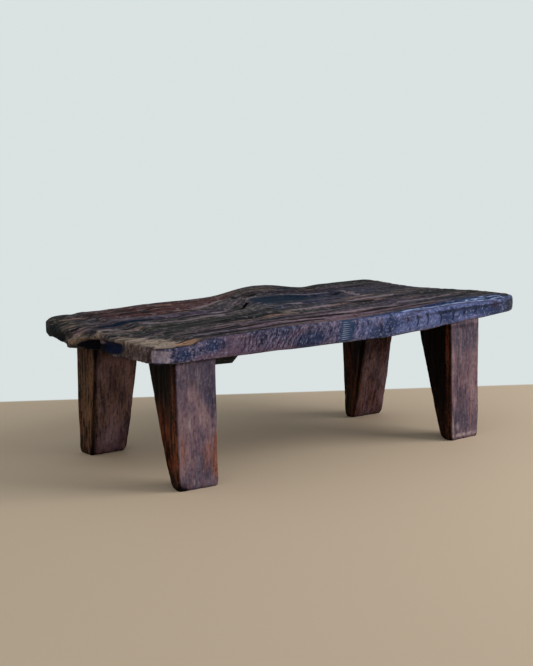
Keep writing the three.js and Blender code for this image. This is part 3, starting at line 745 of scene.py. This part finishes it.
# Of these tints, teal is painted shade in the top's hollows.
colour = stain(tree, colour, band, 1.6, 0.95, 1.4, ("ruddy", 0x522420, 0.75), ("olive", 0x403F36, 0.65),
               ("mauve", 0x4E4056, 0.65), ("blue", 0x263050, 0.7), ("teal", 0x071826, 0.95),
               ("dusk", 0x181A20, 0.6), ("pink", 0x8C6E7A, 0.8), ("tan", 0xC2AA96, 0.78),
               ("orange", 0xC49474, 0.9), ("end_brown", 0x584440, 0.7))
colour = wash(tree, colour, (speck, 0.55, 0.64, 0x94888C, 0.45), (speck, 0.47, 0.38, 0x08080C, 0.55),
              (fibre, 0.45, 0.32, 0x08080C, 0.5), (fibre, 0.56, 0.68, 0x7A7074, 0.3),
              (rightward, 0.0, 1.0, 0x14141A, 0.28))
colour = stain(tree, colour, speck, 1.6, 0.95, 1.5, ("line_pale", 0x94838A, 0.65),
               ("line_dark", 0x05060C, 0.95))
# Darker in the furrows: dirt and painted shade, less of it on the pale tan patches.
dirt_and_shade = add(tree, "MapRange", low, 0.45, 1.0, 0.0, 0.8)
less_on_tan = add(tree, "MapRange", tan, 0.0, 1.0, 1.0, 0.3)
dirt_and_shade = add(tree, "Math MULTIPLY", dirt_and_shade, less_on_tan)
colour = wash(tree, colour, (dirt_and_shade, 0.0, 1.0, 0x0F0C0C, 1.0))

# The adzed edge: mottled slanting marks, violet-grey where rubbed and blue-black where deep, lighter
# and bluer than the top, and bluer to the right, partly as painted light, with bright flecks where the
# adze left ridges, painted shade in the stroke grooves, dark marks where it cut, and the close ladder of
# chatter, whose pale rungs are painted highlights.
turned = add(tree, "Mapping", Vector=place, Rotation=(0.0, math.radians(28), 0.0),
             Scale=(0.011, 0.05, 0.034), vector_type="TEXTURE")
mark = add(tree, "TexNoise", Vector=turned, Scale=1.0, Detail=5.0, Roughness=0.7)
mottle = add(tree, "TexNoise", Vector=place, Scale=1000 / 10, Detail=5.0, Roughness=0.7)
close = add(tree, "MapRange", strokes, 0.3, 0.85, 0.25, 1.0)
mottled = add(tree, "MapRange", mottle, 0.38, 0.62, 0.35, 0.68)
mark = add(tree, "Mix", at={0: close, 2: mottled, 3: mark})
rubbed_and_lit = add(tree, "ValToRGB", mark, stops=((0.38, 0x181E3C), (0.45, 0x3A3A58), (0.52, 0x56526E),
                                            (0.58, 0x6E6884), (0.66, 0x8C84A2)))
rubbed_and_lit = wash(tree, rubbed_and_lit, (rightward, 0.1, 0.6, 0x6C80BC, 0.52))
rubbed_and_lit = stain(tree, rubbed_and_lit, patch, 1.6, 1.05, 1.45, ("face_pink", 0x7C6070, 0.55),
               ("face_blue", 0x22345A, 0.8))
fine = add(tree, "TexNoise", Vector=turned, Scale=2.7, Detail=3.0, Roughness=0.7)
grit = add(tree, "TexNoise", Vector=place, Scale=1000 / 6, Detail=2.0)
fine = add(tree, "Mix", at={0: close, 2: grit, 3: fine})
# Greyer at the far end, painted shade in the stroke grooves, and pale and dark fine flecks.
rubbed_and_lit = wash(tree, rubbed_and_lit, (far_end, 0.0, 1.0, 0x272C32, 0.92), (stroke, 0.42, 0.85, 0x17152A, 0.85),
              (fine, 0.55, 0.63, 0xA6A8CC, 0.5), (fine, 0.45, 0.37, 0x101428, 0.55))
rubbed_and_lit = stain(tree, rubbed_and_lit, patch, 1.2, 0.9, 1.35, ("face_marks", 0x182038, 0.8))
# Painted highlights on the ripples of the chatter, over its dark ground.
chatter_highlights = add(tree, "SeparateXYZ", place, out=2)
chatter_highlights = add(tree, "Math MULTIPLY", chatter_highlights, 1000 / 5.0)
chatter_highlights = add(tree, "Math PINGPONG", chatter_highlights, 0.5)
for squared in range(2):
    chatter_highlights = add(tree, "Math MULTIPLY", chatter_highlights, chatter)
rubbed_and_lit = wash(tree, rubbed_and_lit, (chatter, 0.1, 0.5, 0x2B4263, 0.8), (chatter_highlights, 0.22, 0.45, 0xBCC8E4, 0.75))
colour = stain(tree, colour, patch, 0.8, 0.65, 1.1, ("face", rubbed_and_lit, 0.95))

# Painted reflection of the sky on the worn strip at the front right: steel blue with bright flecks that
# run along the edge, the pale ridge where it ends, a painted highlight, and the dark line under the ridge.
along_edge = add(tree, "VectorMath MULTIPLY", place, (1000 / 26, 1000 / 9, 1000 / 4))
glint = add(tree, "TexNoise", Vector=along_edge, Scale=1.0, Detail=5.0, Roughness=0.7)
colour = stain(tree, colour, band, 1.2, 0.9, 1.35, ("sky_sheen", 0x182C54, 0.93))
for gain, start, full, shade in ((3.0, 2.52, 2.74, 0xAEC0EC), (-3.0, -0.5, -0.2, 0x0E182E)):
    broken = add(tree, "Math MULTIPLY_ADD", glint, gain, sky_sheen)
    amount = add(tree, "MapRange", broken, start, full, 0.0, 0.85)
    amount = add(tree, "Math MULTIPLY", amount, sky_sheen)
    colour = wash(tree, colour, (amount, 0.0, 1.0, shade, 1.0))
for line, gain, shade, most in (("under_ridge", -2.4, 0x34242E, 0.75), ("ridge", 2.8, 0xB0BEEE, 0.85)):
    colour = stain(tree, colour, glint, gain, 0.5 * gain + 0.5, 0.5 * gain + 0.9, (line, shade, most))

# The worn arris, pale and pinkish on the left, partly a painted highlight, with bright bluish flecks on
# the bevel at the right that are painted highlights, the clipped corner, the rows of torn fibres at the
# ends, painted shade in the dark hollows of the left end, and the dark pits and splits.
fleck = add(tree, "Math ADD", speck, fine)
worn = add(tree, "Math MULTIPLY_ADD", fleck, 2.4, arris)
worn = add(tree, "Math MULTIPLY_ADD", far_end, -1.0, worn)
# Pale line on the arris: pinkish wear with a painted highlight on the left, a bluish painted highlight at
# the right.
pale = wash(tree, linear(0x947A82), (rightward, 0.0, 1.0, 0x98ACE0, 1.0))
colour = wash(tree, colour, (worn, 3.3, 3.7, pale, 0.7))
pale = wash(tree, linear(0x8C7C92), (mottle, 0.4, 0.62, 0xC0B4C0, 1.0))
colour = stain(tree, colour, mottle, 0.9, 0.6, 1.1, ("clipped", pale, 0.9))
rows = add(tree, "VectorMath MULTIPLY", place, (1000 / 60, 1000 / 10, 1000 / 50))
rows = add(tree, "TexNoise", Vector=rows, Scale=1.0, Detail=2.0)
for start, full, shade, most in ((0.52, 0.44, 0x0C0A0A, 0.9), (0.54, 0.62, 0x8E7C64, 0.6)):
    row = add(tree, "MapRange", rows, start, full, 0.0, most)
    row = add(tree, "Math MULTIPLY", row, end_rows)
    colour = wash(tree, colour, (row, 0.0, 1.0, shade, 1.0))
# Painted shade: teal in the top's hollows, teal, black and blue-black in the left end's hollows, then the
# black of pits and splits.
colour = stain(tree, colour, patch, 0.9, 0.75, 1.1, ("teal", 0x081C30, 0.82), ("end_teal", 0x0C1416, 0.9),
               ("black", 0x07050E, 1.0), ("deep_shade", 0x0C1634, 0.9), ("split_black", 0x07080E, 1.0))
rough = add(tree, "MapRange", arris, 0.0, 1.0, 0.72, 0.45)
rough = add(tree, "Math MULTIPLY_ADD", fibre, 0.2, rough)
gloss = add(tree, "MapRange", split_black, 0.2, 0.8, 0.1, 0.0)
rise = add(tree, "Math MULTIPLY_ADD", thread, 0.5, band)
rise = add(tree, "Math MULTIPLY_ADD", fibre, 0.25, rise)
bump = add(tree, "Bump", Height=rise, Strength=0.8, Distance=0.006)
put(tree, shader, {"Base Color": colour, "Roughness": rough, "Specular IOR Level": gloss, "Normal": bump})
hew(slab, "tabletop_slab_hewn", slab_wood, "tabletop_slab", "slab_wood", 42)

# Legs. Four of them, split and hewn from the same hardwood, upright in the grain, tapering to a narrow
# foot whose sole is rubbed round. Each is seated under the slab on a blind wedged tenon.
leg_sizes = {
    "front_left": dict(end=-1, side=-1, from_end=81, from_edge=9, wide=113, deep=110, end_lean=12,
                       side_lean=0, turn=0, foot_wide=107, foot_deep=34),
    "front_right": dict(end=1, side=-1, from_end=184, from_edge=13, wide=112, deep=112, end_lean=-4,
                        side_lean=0, turn=4, foot_wide=104, foot_deep=35),
    "back_left": dict(end=-1, side=1, from_end=111, from_edge=115, wide=126, deep=96, end_lean=5,
                      side_lean=0, turn=0, foot_wide=100, foot_deep=58),
    "back_right": dict(end=1, side=1, from_end=197, from_edge=178, wide=105, deep=108, end_lean=-10,
                       side_lean=10, turn=0, foot_wide=106, foot_deep=34)}
heel_wear, toe_wear, sole_end_wear, sole_rise = 8.0, 2.0, 5.0, 18.0
leg_corner, sole_corner, taper_power, seat_gap = 6.0, 8.0, 0.9, 0.3


def leg_ring(size, height, wear, cells=22, steps=4):
    """The leg's section at a height, as points round a rectangle with rounded corners."""
    share = (height / slab_under) ** taper_power
    mix = lambda low, high: low + (high - low) * share
    outer_x = size["end"] * (size["wide"] / 2 - mix(size["end_lean"], 0))
    outer_y = size["side"] * (size["deep"] / 2 - mix(size["side_lean"], 0))
    inner_x = outer_x - size["end"] * mix(size["foot_wide"], size["wide"])
    inner_y = outer_y - size["side"] * mix(size["foot_deep"], size["deep"])
    worn_outer = outer_y - size["side"] * toe_wear * wear
    worn_inner = inner_y + size["side"] * heel_wear * wear
    x0, x1 = sorted((outer_x, inner_x))
    x0, x1 = x0 + sole_end_wear * wear, x1 - sole_end_wear * wear
    y0, y1 = sorted((worn_outer, worn_inner))
    r = leg_corner + (sole_corner - leg_corner) * wear
    ring = []
    corners = [(x1 - r, y0 + r), (x1 - r, y1 - r), (x0 + r, y1 - r), (x0 + r, y0 + r)]
    for quarter, (cx, cy) in enumerate(corners):
        for step in range(steps + 1):
            angle = (quarter - 1 + step / steps) * math.pi / 2
            ring.append((cx + r * math.cos(angle), cy + r * math.sin(angle)))
        turn = quarter * math.pi / 2
        start = np.array(ring[-1])
        stop = np.array(corners[(quarter + 1) % 4]) + r * np.array([math.cos(turn), math.sin(turn)])
        ring.extend(map(tuple, (start + (stop - start) * (k / cells) for k in range(1, cells))))
    return np.array(ring)


def leg_blank(size, levels=72, foot_levels=6):
    """A leg from its sole up to the slab's underside, in the part's own frame, in mm, and how far
    each of its points lies behind its front face and to the right of its left face."""
    from_left = size["from_end"] + size["wide"] / 2
    from_front = size["from_edge"] + size["deep"] / 2
    centre = np.array([from_left if size["end"] < 0 else slab_long - from_left,
                       from_front if size["side"] < 0 else slab_wide - from_front])
    turn = math.radians(size["turn"])
    spin = np.array([[math.cos(turn), math.sin(turn)], [-math.sin(turn), math.cos(turn)]])
    rings, faces_off = [], []
    for step in range(foot_levels):
        angle = step / foot_levels * math.pi / 2
        height = sole_rise * (1 - math.cos(angle))
        ring = leg_ring(size, height, 1 - math.sin(angle))
        faces_off.append(ring - ring.min(0))
        rings.append(np.column_stack([ring @ spin + centre, np.full(len(ring), height)]))
    for step in range(levels + 1):
        share = step / levels
        ring = leg_ring(size, sole_rise + (slab_under - sole_rise) * share, 0)
        faces_off.append(ring - ring.min(0))
        ring = ring @ spin + centre
        seat = hewn_height(under_profile, under_swells, ring[:, 0], ring[:, 1]) - seat_gap
        rings.append(np.column_stack([ring, sole_rise + (seat - sole_rise) * share]))
    rings = np.array(rings)
    rings[..., :2] += slab_origin
    return rings, np.array(faces_off).reshape(-1, 2)


def loft(rings):
    """Closed faces through rings that turn left as seen from above, with a fan at each end."""
    levels, count = rings.shape[:2]
    numbers = np.arange(levels * count).reshape(levels, count)
    ahead = np.roll(numbers, -1, axis=1)
    sides = np.stack([numbers[:-1], ahead[:-1], ahead[1:], numbers[1:]], -1).reshape(-1, 4).tolist()
    points = [rings.reshape(-1, 3)]
    total = levels * count
    for ring, order in ((0, -1), (levels - 1, 1)):
        last = numbers[ring]
        for share in (0.75, 0.5, 0.25):
            middle = rings[ring].mean(0)
            points.append(middle + (rings[ring] - middle) * share)
            inner = np.arange(total, total + count)
            total += count
            quad = np.stack([last, np.roll(last, -1), np.roll(inner, -1), inner], -1)
            sides.extend(quad[:, ::order].tolist())
            last = inner
        sides.append(last[::order].tolist())
    return np.vstack(points), sides


# The same hardwood, split upright: red-brown, black with painted shade on the left sides, under the slab
# and at the sole, with an orange glow where hands and feet have rubbed it and, near the front corner of
# each left side, painted light bounced from the floor, and on the faces turned to the room a dusty mauve
# bloom, lighter partly as painted light.
leg_wood, tree, shader = finish("hewn_hardwood_legs")
grain = add(tree, "Attribute", out="Vector", attribute_name="grain")
drift, band, thread, speck, cloud = fibres(tree, grain, 0, (260, 34, 3), (130, 14, 3), (46, 6, 3), (9, 6, 4),
                                           (90, 46, 4))
colour = add(tree, "ValToRGB", drift, stops=((0.38, 0x1E0E0C), (0.46, 0x3E2018), (0.53, 0x4E2E26),
                                             (0.62, 0x644030)))
colour = stain(tree, colour, thread, 3.0, 1.8, 2.4, ("tawny", 0x86644C, 0.85), ("moss", 0x4A3E2C, 0.8),
               ("ember", 0x803A18, 0.85), ("plum", 0x4A2C38, 0.75), ("slate", 0x262C3C, 0.8))
colour = wash(tree, colour, (band, 0.54, 0.64, 0x7A5038, 0.5), (band, 0.47, 0.39, 0x0E0605, 0.8),
              (thread, 0.56, 0.66, 0x80594A, 0.35), (thread, 0.46, 0.37, 0x0C0605, 0.6),
              (speck, 0.56, 0.66, 0x8A6656, 0.25), (speck, 0.46, 0.37, 0x0C0605, 0.5))
# The front faces' colour: a dusty mauve bloom, lighter than the sides partly as painted light.
dust_and_light = add(tree, "ValToRGB", cloud, stops=((0.38, 0x60586A), (0.46, 0x7C6674), (0.54, 0x907680),
                                            (0.62, 0x9A7E84)))
dust_and_light = stain(tree, dust_and_light, band, 1.5, 0.95, 1.4, ("blue_top", 0x4A495E, 0.85), ("rub", 0x9A5E42, 0.8),
              ("scratch", 0xC0AEB0, 0.9))
dust_and_light = wash(tree, dust_and_light, (band, 0.47, 0.38, 0x3A2A32, 0.25), (band, 0.56, 0.66, 0x9A8084, 0.2),
             (thread, 0.46, 0.36, 0x34262E, 0.35), (thread, 0.56, 0.66, 0xA68E92, 0.3),
             (speck, 0.46, 0.36, 0x2A1E28, 0.4), (speck, 0.57, 0.68, 0xB8A4A8, 0.25))
colour = stain(tree, colour, cloud, 0.8, 0.55, 1.15, ("pale_overlay", dust_and_light, 0.92))
# Painted shade: black on the left sides, at the tops under the slab, down the back-left leg's corner and at
# the sole.
colour = stain(tree, colour, band, 1.0, 0.6, 1.3, ("painted_shade", 0x060302, 0.97))
rough = add(tree, "MapRange", thread, 0.35, 0.65, 0.72, 0.5)
rise = add(tree, "Math MULTIPLY_ADD", thread, 0.5, band)
rise = add(tree, "Math MULTIPLY_ADD", speck, 0.2, rise)
bump = add(tree, "Bump", Height=rise, Strength=0.7, Distance=0.003)
put(tree, shader, {"Base Color": colour, "Roughness": rough, "Specular IOR Level": 0.04, "Normal": bump})

# How much painted shade darkens the left side of each leg, and how much orange, partly rubbed and partly
# painted light bounced from the floor, its near corner takes, by height; then what each leg shows in
# spots: place in the part's own frame, reach and strength.
side_heights = [0, 60, 120, 180, 230, 290]
side_shade = {
    "front_left": [0.4, 0.05, 0.15, 0.5, 0.82, 0.85],
    "front_right": [0.6, 0.62, 0.75, 0.88, 0.95, 1],
    "back_left": [0.4, 0, 0, 0, 0, 0.2],
    "back_right": [0.6, 0.5, 0.5, 0.55, 0.7, 1]}
corner_rub_and_glow = {
    "front_left": [0.3, 0.5, 0.6, 0.4, 0.2, 0],
    "front_right": [0, 0.1, 0.3, 0.6, 0.8, 0.8],
    "back_left": [0, 0, 0, 0, 0, 0],
    "back_right": [0, 0.1, 0.2, 0.2, 0.1, 0]}
# How strongly each leg's front face takes the mauve layer, which is partly painted light.
front_dust_and_light = {"front_left": 0.95, "front_right": 0.68, "back_left": 0.4, "back_right": 0.29}
leg_tints = {
    "front_left": {
        "painted_shade": [(-505, -290, 4, 22, 14, 16, 0.8), (-480, -292, 290, 60, 30, 6, 0.5)],
        "plum": [(-518, -250, 200, 20, 30, 40, 0.3)],
        "ember": [(-514, -240, 110, 20, 40, 90, 0.75)],
        "blue_top": [(-440, -292, 268, 70, 20, 44, 1), (-420, -292, 200, 24, 20, 44, 0.7)],
        "rub": [(-406, -292, 70, 12, 20, 56, 1.1), (-432, -292, 80, 24, 20, 60, 0.45),
                (-498, -292, 100, 9, 20, 60, 0.6)],
        "scratch": [(-424, -292, 130, 2.2, 20, 30, 0.8), (-468, -292, 18, 2, 20, 14, 1),
                    (-480, -292, 150, 2.2, 20, 16, 0.7), (-412, -292, 90, 2.2, 20, 22, 0.7)]},
    "front_right": {
        "painted_shade": [(360, -290, 292, 80, 30, 5, 0.5)],
        "ember": [(312, -260, 150, 20, 12, 40, 0.3), (316, -275, 60, 20, 14, 40, 0.3)],
        "blue_top": [(380, -290, 190, 30, 20, 50, 0.35), (360, -290, 270, 80, 20, 50, 0.85),
                     (360, -290, 50, 80, 20, 50, 0.75)],
        "rub": [(419, -290, 230, 6, 20, 70, 0.6), (394, -288, 70, 8, 20, 40, 0.4)],
        "scratch": [(350, -290, 200, 3, 20, 34, 0.8), (360, -290, 11, 60, 20, 3, 1),
                    (322, -290, 40, 3, 20, 26, 0.7), (338, -290, 34, 14, 20, 14, 0.5)]},
    "back_left": {
        "painted_shade": [(-430, 92, 280, 70, 30, 36, 1.05)],
        "ember": [(-392, 96, 190, 12, 20, 70, 0.5), (-436, 110, 130, 10, 20, 40, 0.4),
                  (-478, 165, 90, 14, 14, 60, 0.5)],
        "tawny": [(-430, 100, 150, 60, 40, 130, 1.2), (-488, 140, 120, 16, 60, 150, 0.8)],
        "moss": [(-488, 160, 190, 16, 40, 120, 0.9), (-430, 96, 110, 16, 20, 60, 0.6),
                 (-400, 96, 150, 20, 20, 60, 0.5)],
        "slate": [(-482, 90, 100, 15, 13, 150, 1.1)],
        "plum": [(-420, 130, 40, 50, 40, 46, 1), (-440, 96, 170, 20, 20, 60, 0.7)]},
    "back_right": {
        "painted_shade": [(330, 18, 282, 50, 30, 20, 0.7), (300, 30, 150, 16, 34, 220, 0.8)],
        "ember": [(298, 80, 160, 16, 40, 110, 0.8), (402, 20, 270, 10, 20, 50, 0.6),
                  (350, 30, 220, 10, 20, 40, 0.25), (370, 25, 180, 8, 20, 50, 0.2)],
        "slate": [(320, 14, 190, 10, 10, 130, 1.2), (330, 40, 60, 12, 30, 50, 0.7)],
        "plum": [(360, 80, 30, 50, 50, 36, 0.9), (390, 20, 180, 18, 20, 90, 0.8)]}}

for name, size in leg_sizes.items():
    rings, faces_off = leg_blank(size)
    points, faces = loft(rings)
    leg = mesh_object("leg_" + name + "_blank", points, faces)
    x, y, z = points.T
    give(leg.data, "grain", np.stack([z, x, y], -1) * MM)
    give(leg.data, "calm", np.ones(len(points)))
    behind_left, behind_front = faces_off.T
    on_sides = slice(0, len(faces_off))
    front, left, near, corner = np.zeros((4, len(points)))
    front[on_sides] = part_way(behind_front, 10, 2) * part_way(behind_left, 0, 6)
    left[on_sides] = part_way(behind_left, 8, 2)
    near[on_sides] = bell((behind_front - 9) / 7)
    corner_reach = np.interp(z[on_sides], [0, 280], [13, 6])
    corner[on_sides] = bell(behind_left / corner_reach, 3) * bell(behind_front / 8, 3)
    # Front faces take the mauve layer, lighter partly as painted light, most on the front legs.
    give(leg.data, "pale_overlay", front_dust_and_light[name] * front)
    for tint in ("tawny", "moss", "ember", "plum", "painted_shade", "slate", "blue_top", "rub", "scratch"):
        strength = spots(leg_tints[name].get(tint, []), x, y, z)
        # Orange near the front corner of the left side, partly painted light bounced from the floor; painted
        # shade on the left side, the back-left leg's corner and the sole.
        if tint == "ember":
            strength += left * near * np.interp(z, side_heights, corner_rub_and_glow[name])
        if tint == "painted_shade":
            strength += left * (1 - 0.8 * near) * np.interp(z, side_heights, side_shade[name])
            strength += 0.7 * corner * (name == "back_left") + 0.45 * part_way(z, 8, 2)
        give(leg.data, tint, np.clip(strength, 0, 1.2))
    hew(leg, "leg_" + name + "_hewn", leg_wood, "leg_" + name, "leg_wood", 50,
        **{"Furrow depth": 0.0015, "Furrow width": 0.02, "Furrow length": 0.22, "Fine depth": 0.0009,
           "Fine width": 0.006, "Fine length": 0.12, "Swale depth": 0.0014, "Swale width": 0.1})


# Batten. Sawn from a lesser plank and nailed up under the left end, to hold the slab together where it
# has begun to split. Its saw marks are worn away, and dust has greyed it.
def wood(name, colours, grain_axis, fibre_mm, band_mm, length_mm, gloss):
    """Old hardwood. Fibres and wider bands run along one axis, dark in their hollows and lighter on
    their worn crests, under a thin patchy grey bloom."""
    material, tree, shader = finish(name)
    place = add(tree, "TexCoord", out="Object")
    drift, band, fibre = fibres(tree, place, grain_axis, (2.2 * length_mm, 3 * band_mm, 2),
                                (length_mm, band_mm, 3), (length_mm / 3, fibre_mm, 3))
    patch = add(tree, "TexNoise", Vector=place, Scale=22.0, Detail=4.0, Roughness=0.6)
    colour = add(tree, "ValToRGB", drift, stops=tuple(zip((0.4, 0.5, 0.6), colours["body"])))
    crest, hollow = colours["crest"], colours["hollow"]
    colour = wash(tree, colour, (band, 0.53, 0.64, crest, 0.55), (band, 0.47, 0.37, hollow, 0.8),
                  (fibre, 0.55, 0.7, crest, 0.35), (fibre, 0.46, 0.33, hollow, 0.6),
                  (patch, 0.45, 0.65, colours["pale_overlay"], colours["bloom_most"]))
    rough = add(tree, "MapRange", fibre, 0.3, 0.7, gloss + 0.14, gloss)
    rise = add(tree, "Math MULTIPLY_ADD", fibre, 0.4, band)
    bump = add(tree, "Bump", Height=rise, Strength=0.7, Distance=0.004)
    put(tree, shader, {"Base Color": colour, "Roughness": rough, "Specular IOR Level": 0.15, "Normal": bump})
    return material


def coat(start_of_name, material):
    """Gives a material to the frame's nodes whose names start so."""
    for name, node in nodes.items():
        if name.startswith(start_of_name):
            node.data.materials.clear()
            node.data.materials.append(material)


coat("left_end_batten", wood("sawn_batten", {
    "body": (0x1C1D1D, 0x252626, 0x2B2B2B), "crest": 0x424242, "hollow": 0x101012,
    "pale_overlay": 0x40444A, "bloom_most": 0.35}, 1, 2.0, 9.0, 160.0, 0.6))

# Wedges. Two small riven wedges in each tenon, which spread it in its mortise as it is driven home.
# They are raw hardwood and lie out of sight inside the slab.
coat("tenon_wedge", wood("riven_wedge", {
    "body": (0x7A5C3E, 0x8C6D4C, 0x9A7C58), "crest": 0xB09066, "hollow": 0x4E3824,
    "pale_overlay": 0x8A7A66, "bloom_most": 0.2}, 2, 1.2, 5.0, 60.0, 0.6))

# Nails. Four square nails of forged iron, driven up through the batten into the slab, their heads
# hammered flat and rusted in patches, which turns the grey metal dull and brown.
nail_iron, tree, shader = finish("forged_nail_iron")
place = add(tree, "TexCoord", out="Object")
rust = add(tree, "TexNoise", Vector=place, Scale=260.0, Detail=4.0)
rusted = add(tree, "MapRange", rust, 0.45, 0.6)
colour = wash(tree, linear(0x3B3633), (rusted, 0.0, 1.0, 0x4A2A1B, 1.0))
metal = add(tree, "MapRange", rusted, 0.0, 1.0, 0.9, 0.1)
dents = add(tree, "Bump", Height=rust, Strength=0.6, Distance=0.0006)
put(tree, shader, {"Base Color": colour, "Metallic": metal, "Roughness": 0.6, "Normal": dents})
coat("batten_nail", nail_iron)


# Floor. A plain pale floor. Behind the table it turns paler along one line, as where it meets a wall,
# and there it shows the same pale tone as the sky behind it.
def seen_rays(tree):
    """1 for rays that look at the background: straight, in a reflection, or through something clear."""
    rays = add(tree, "LightPath", out=None)
    seen = add(tree, "Math MAXIMUM", rays["Is Camera Ray"], rays["Is Glossy Ray"])
    return add(tree, "Math MAXIMUM", seen, rays["Is Transmission Ray"])


wall_colour, floor_half = linear(0xDAE2E2), 9000
floor = mesh_object("floor", [(-floor_half, -floor_half, 0), (floor_half, -floor_half, 0),
                              (floor_half, floor_half, 0), (-floor_half, floor_half, 0)], [[0, 1, 2, 3]])
floor_paint, tree, shader = finish("floor_paint")
put(tree, shader, {"Base Color": linear(0xDAC3A8), "Roughness": 0.8, "Specular IOR Level": 0.2})
place = add(tree, "TexCoord", out="Object")
behind = add(tree, "VectorMath DOT_PRODUCT", place, (0.474, 0.880, 0.0), out="Value")
behind = add(tree, "MapRange", behind, 0.595, 0.61)
glow = add(tree, "Emission", Color=wall_colour, Strength=1.0)
seen = add(tree, "Math MULTIPLY", seen_rays(tree), behind)
surface = add(tree, "MixShader", seen, shader.outputs[0], glow)
tree.links.new(surface, tree.nodes["Material Output"].inputs["Surface"])
floor.data.materials.append(floor_paint)

# Light. A large soft lamp on the right, as from a window, a weaker one on the left, and an even pale
# sky, whose tone behind the table is set apart from the light that it gives.
for name, place, size, power in (("window", (2.6, -2.4, 2.3), 2.4, 88.0),
                                 ("fill", (-3.2, -2.0, 2.2), 2.5, 10.0)):
    lamp = bpy.data.lights.new(name, "AREA")
    lamp.size = size
    lamp.energy = power
    holder = bpy.data.objects.new(name, lamp)
    holder.location = place
    holder.rotation_euler = (Vector((0, 0, 0.25)) - Vector(place)).to_track_quat("-Z", "Y").to_euler()
    bpy.context.scene.collection.objects.link(holder)
sky = bpy.data.worlds.new("sky")
sky.use_nodes = True
tree = sky.node_tree
sky_light = tree.nodes["Background"]
sky_light.inputs["Color"].default_value = linear(0xE6ECEE)
sky_light.inputs["Strength"].default_value = 0.46
sky_wall = add(tree, "Background", Color=wall_colour, Strength=1.0)
surface = add(tree, "MixShader", seen_rays(tree), sky_light.outputs[0], sky_wall)
tree.links.new(surface, tree.nodes["World Output"].inputs["Surface"])
bpy.context.scene.world = sky

# Camera. It stands where the photograph was taken from: at standing height over the left front, looking
# down a little at the table.
camera_data = bpy.data.cameras.new("camera")
camera_data.sensor_fit = "VERTICAL"
camera_data.sensor_height = 36.0
camera_data.lens = 36.0 * 1500 / 666
camera = bpy.data.objects.new("camera", camera_data)
bpy.context.scene.collection.objects.link(camera)
pitch, roll = math.radians(8.755), 0.0034
level = Vector((0.6025, 0.7981, 0)).normalized()
forward = level * math.cos(pitch) - Vector((0, 0, 1)) * math.sin(pitch)
right = level.cross(Vector((0, 0, 1)))
up = right.cross(forward)
right, up = right * math.cos(roll) - up * math.sin(roll), up * math.cos(roll) + right * math.sin(roll)
turned = Matrix((right, up, -forward)).transposed().to_4x4()
camera.matrix_world = Matrix.Translation((-2.2925, -2.9744, 0.8511)) @ turned
bpy.context.scene.camera = camera
bpy.context.scene.view_settings.view_transform = "Standard"
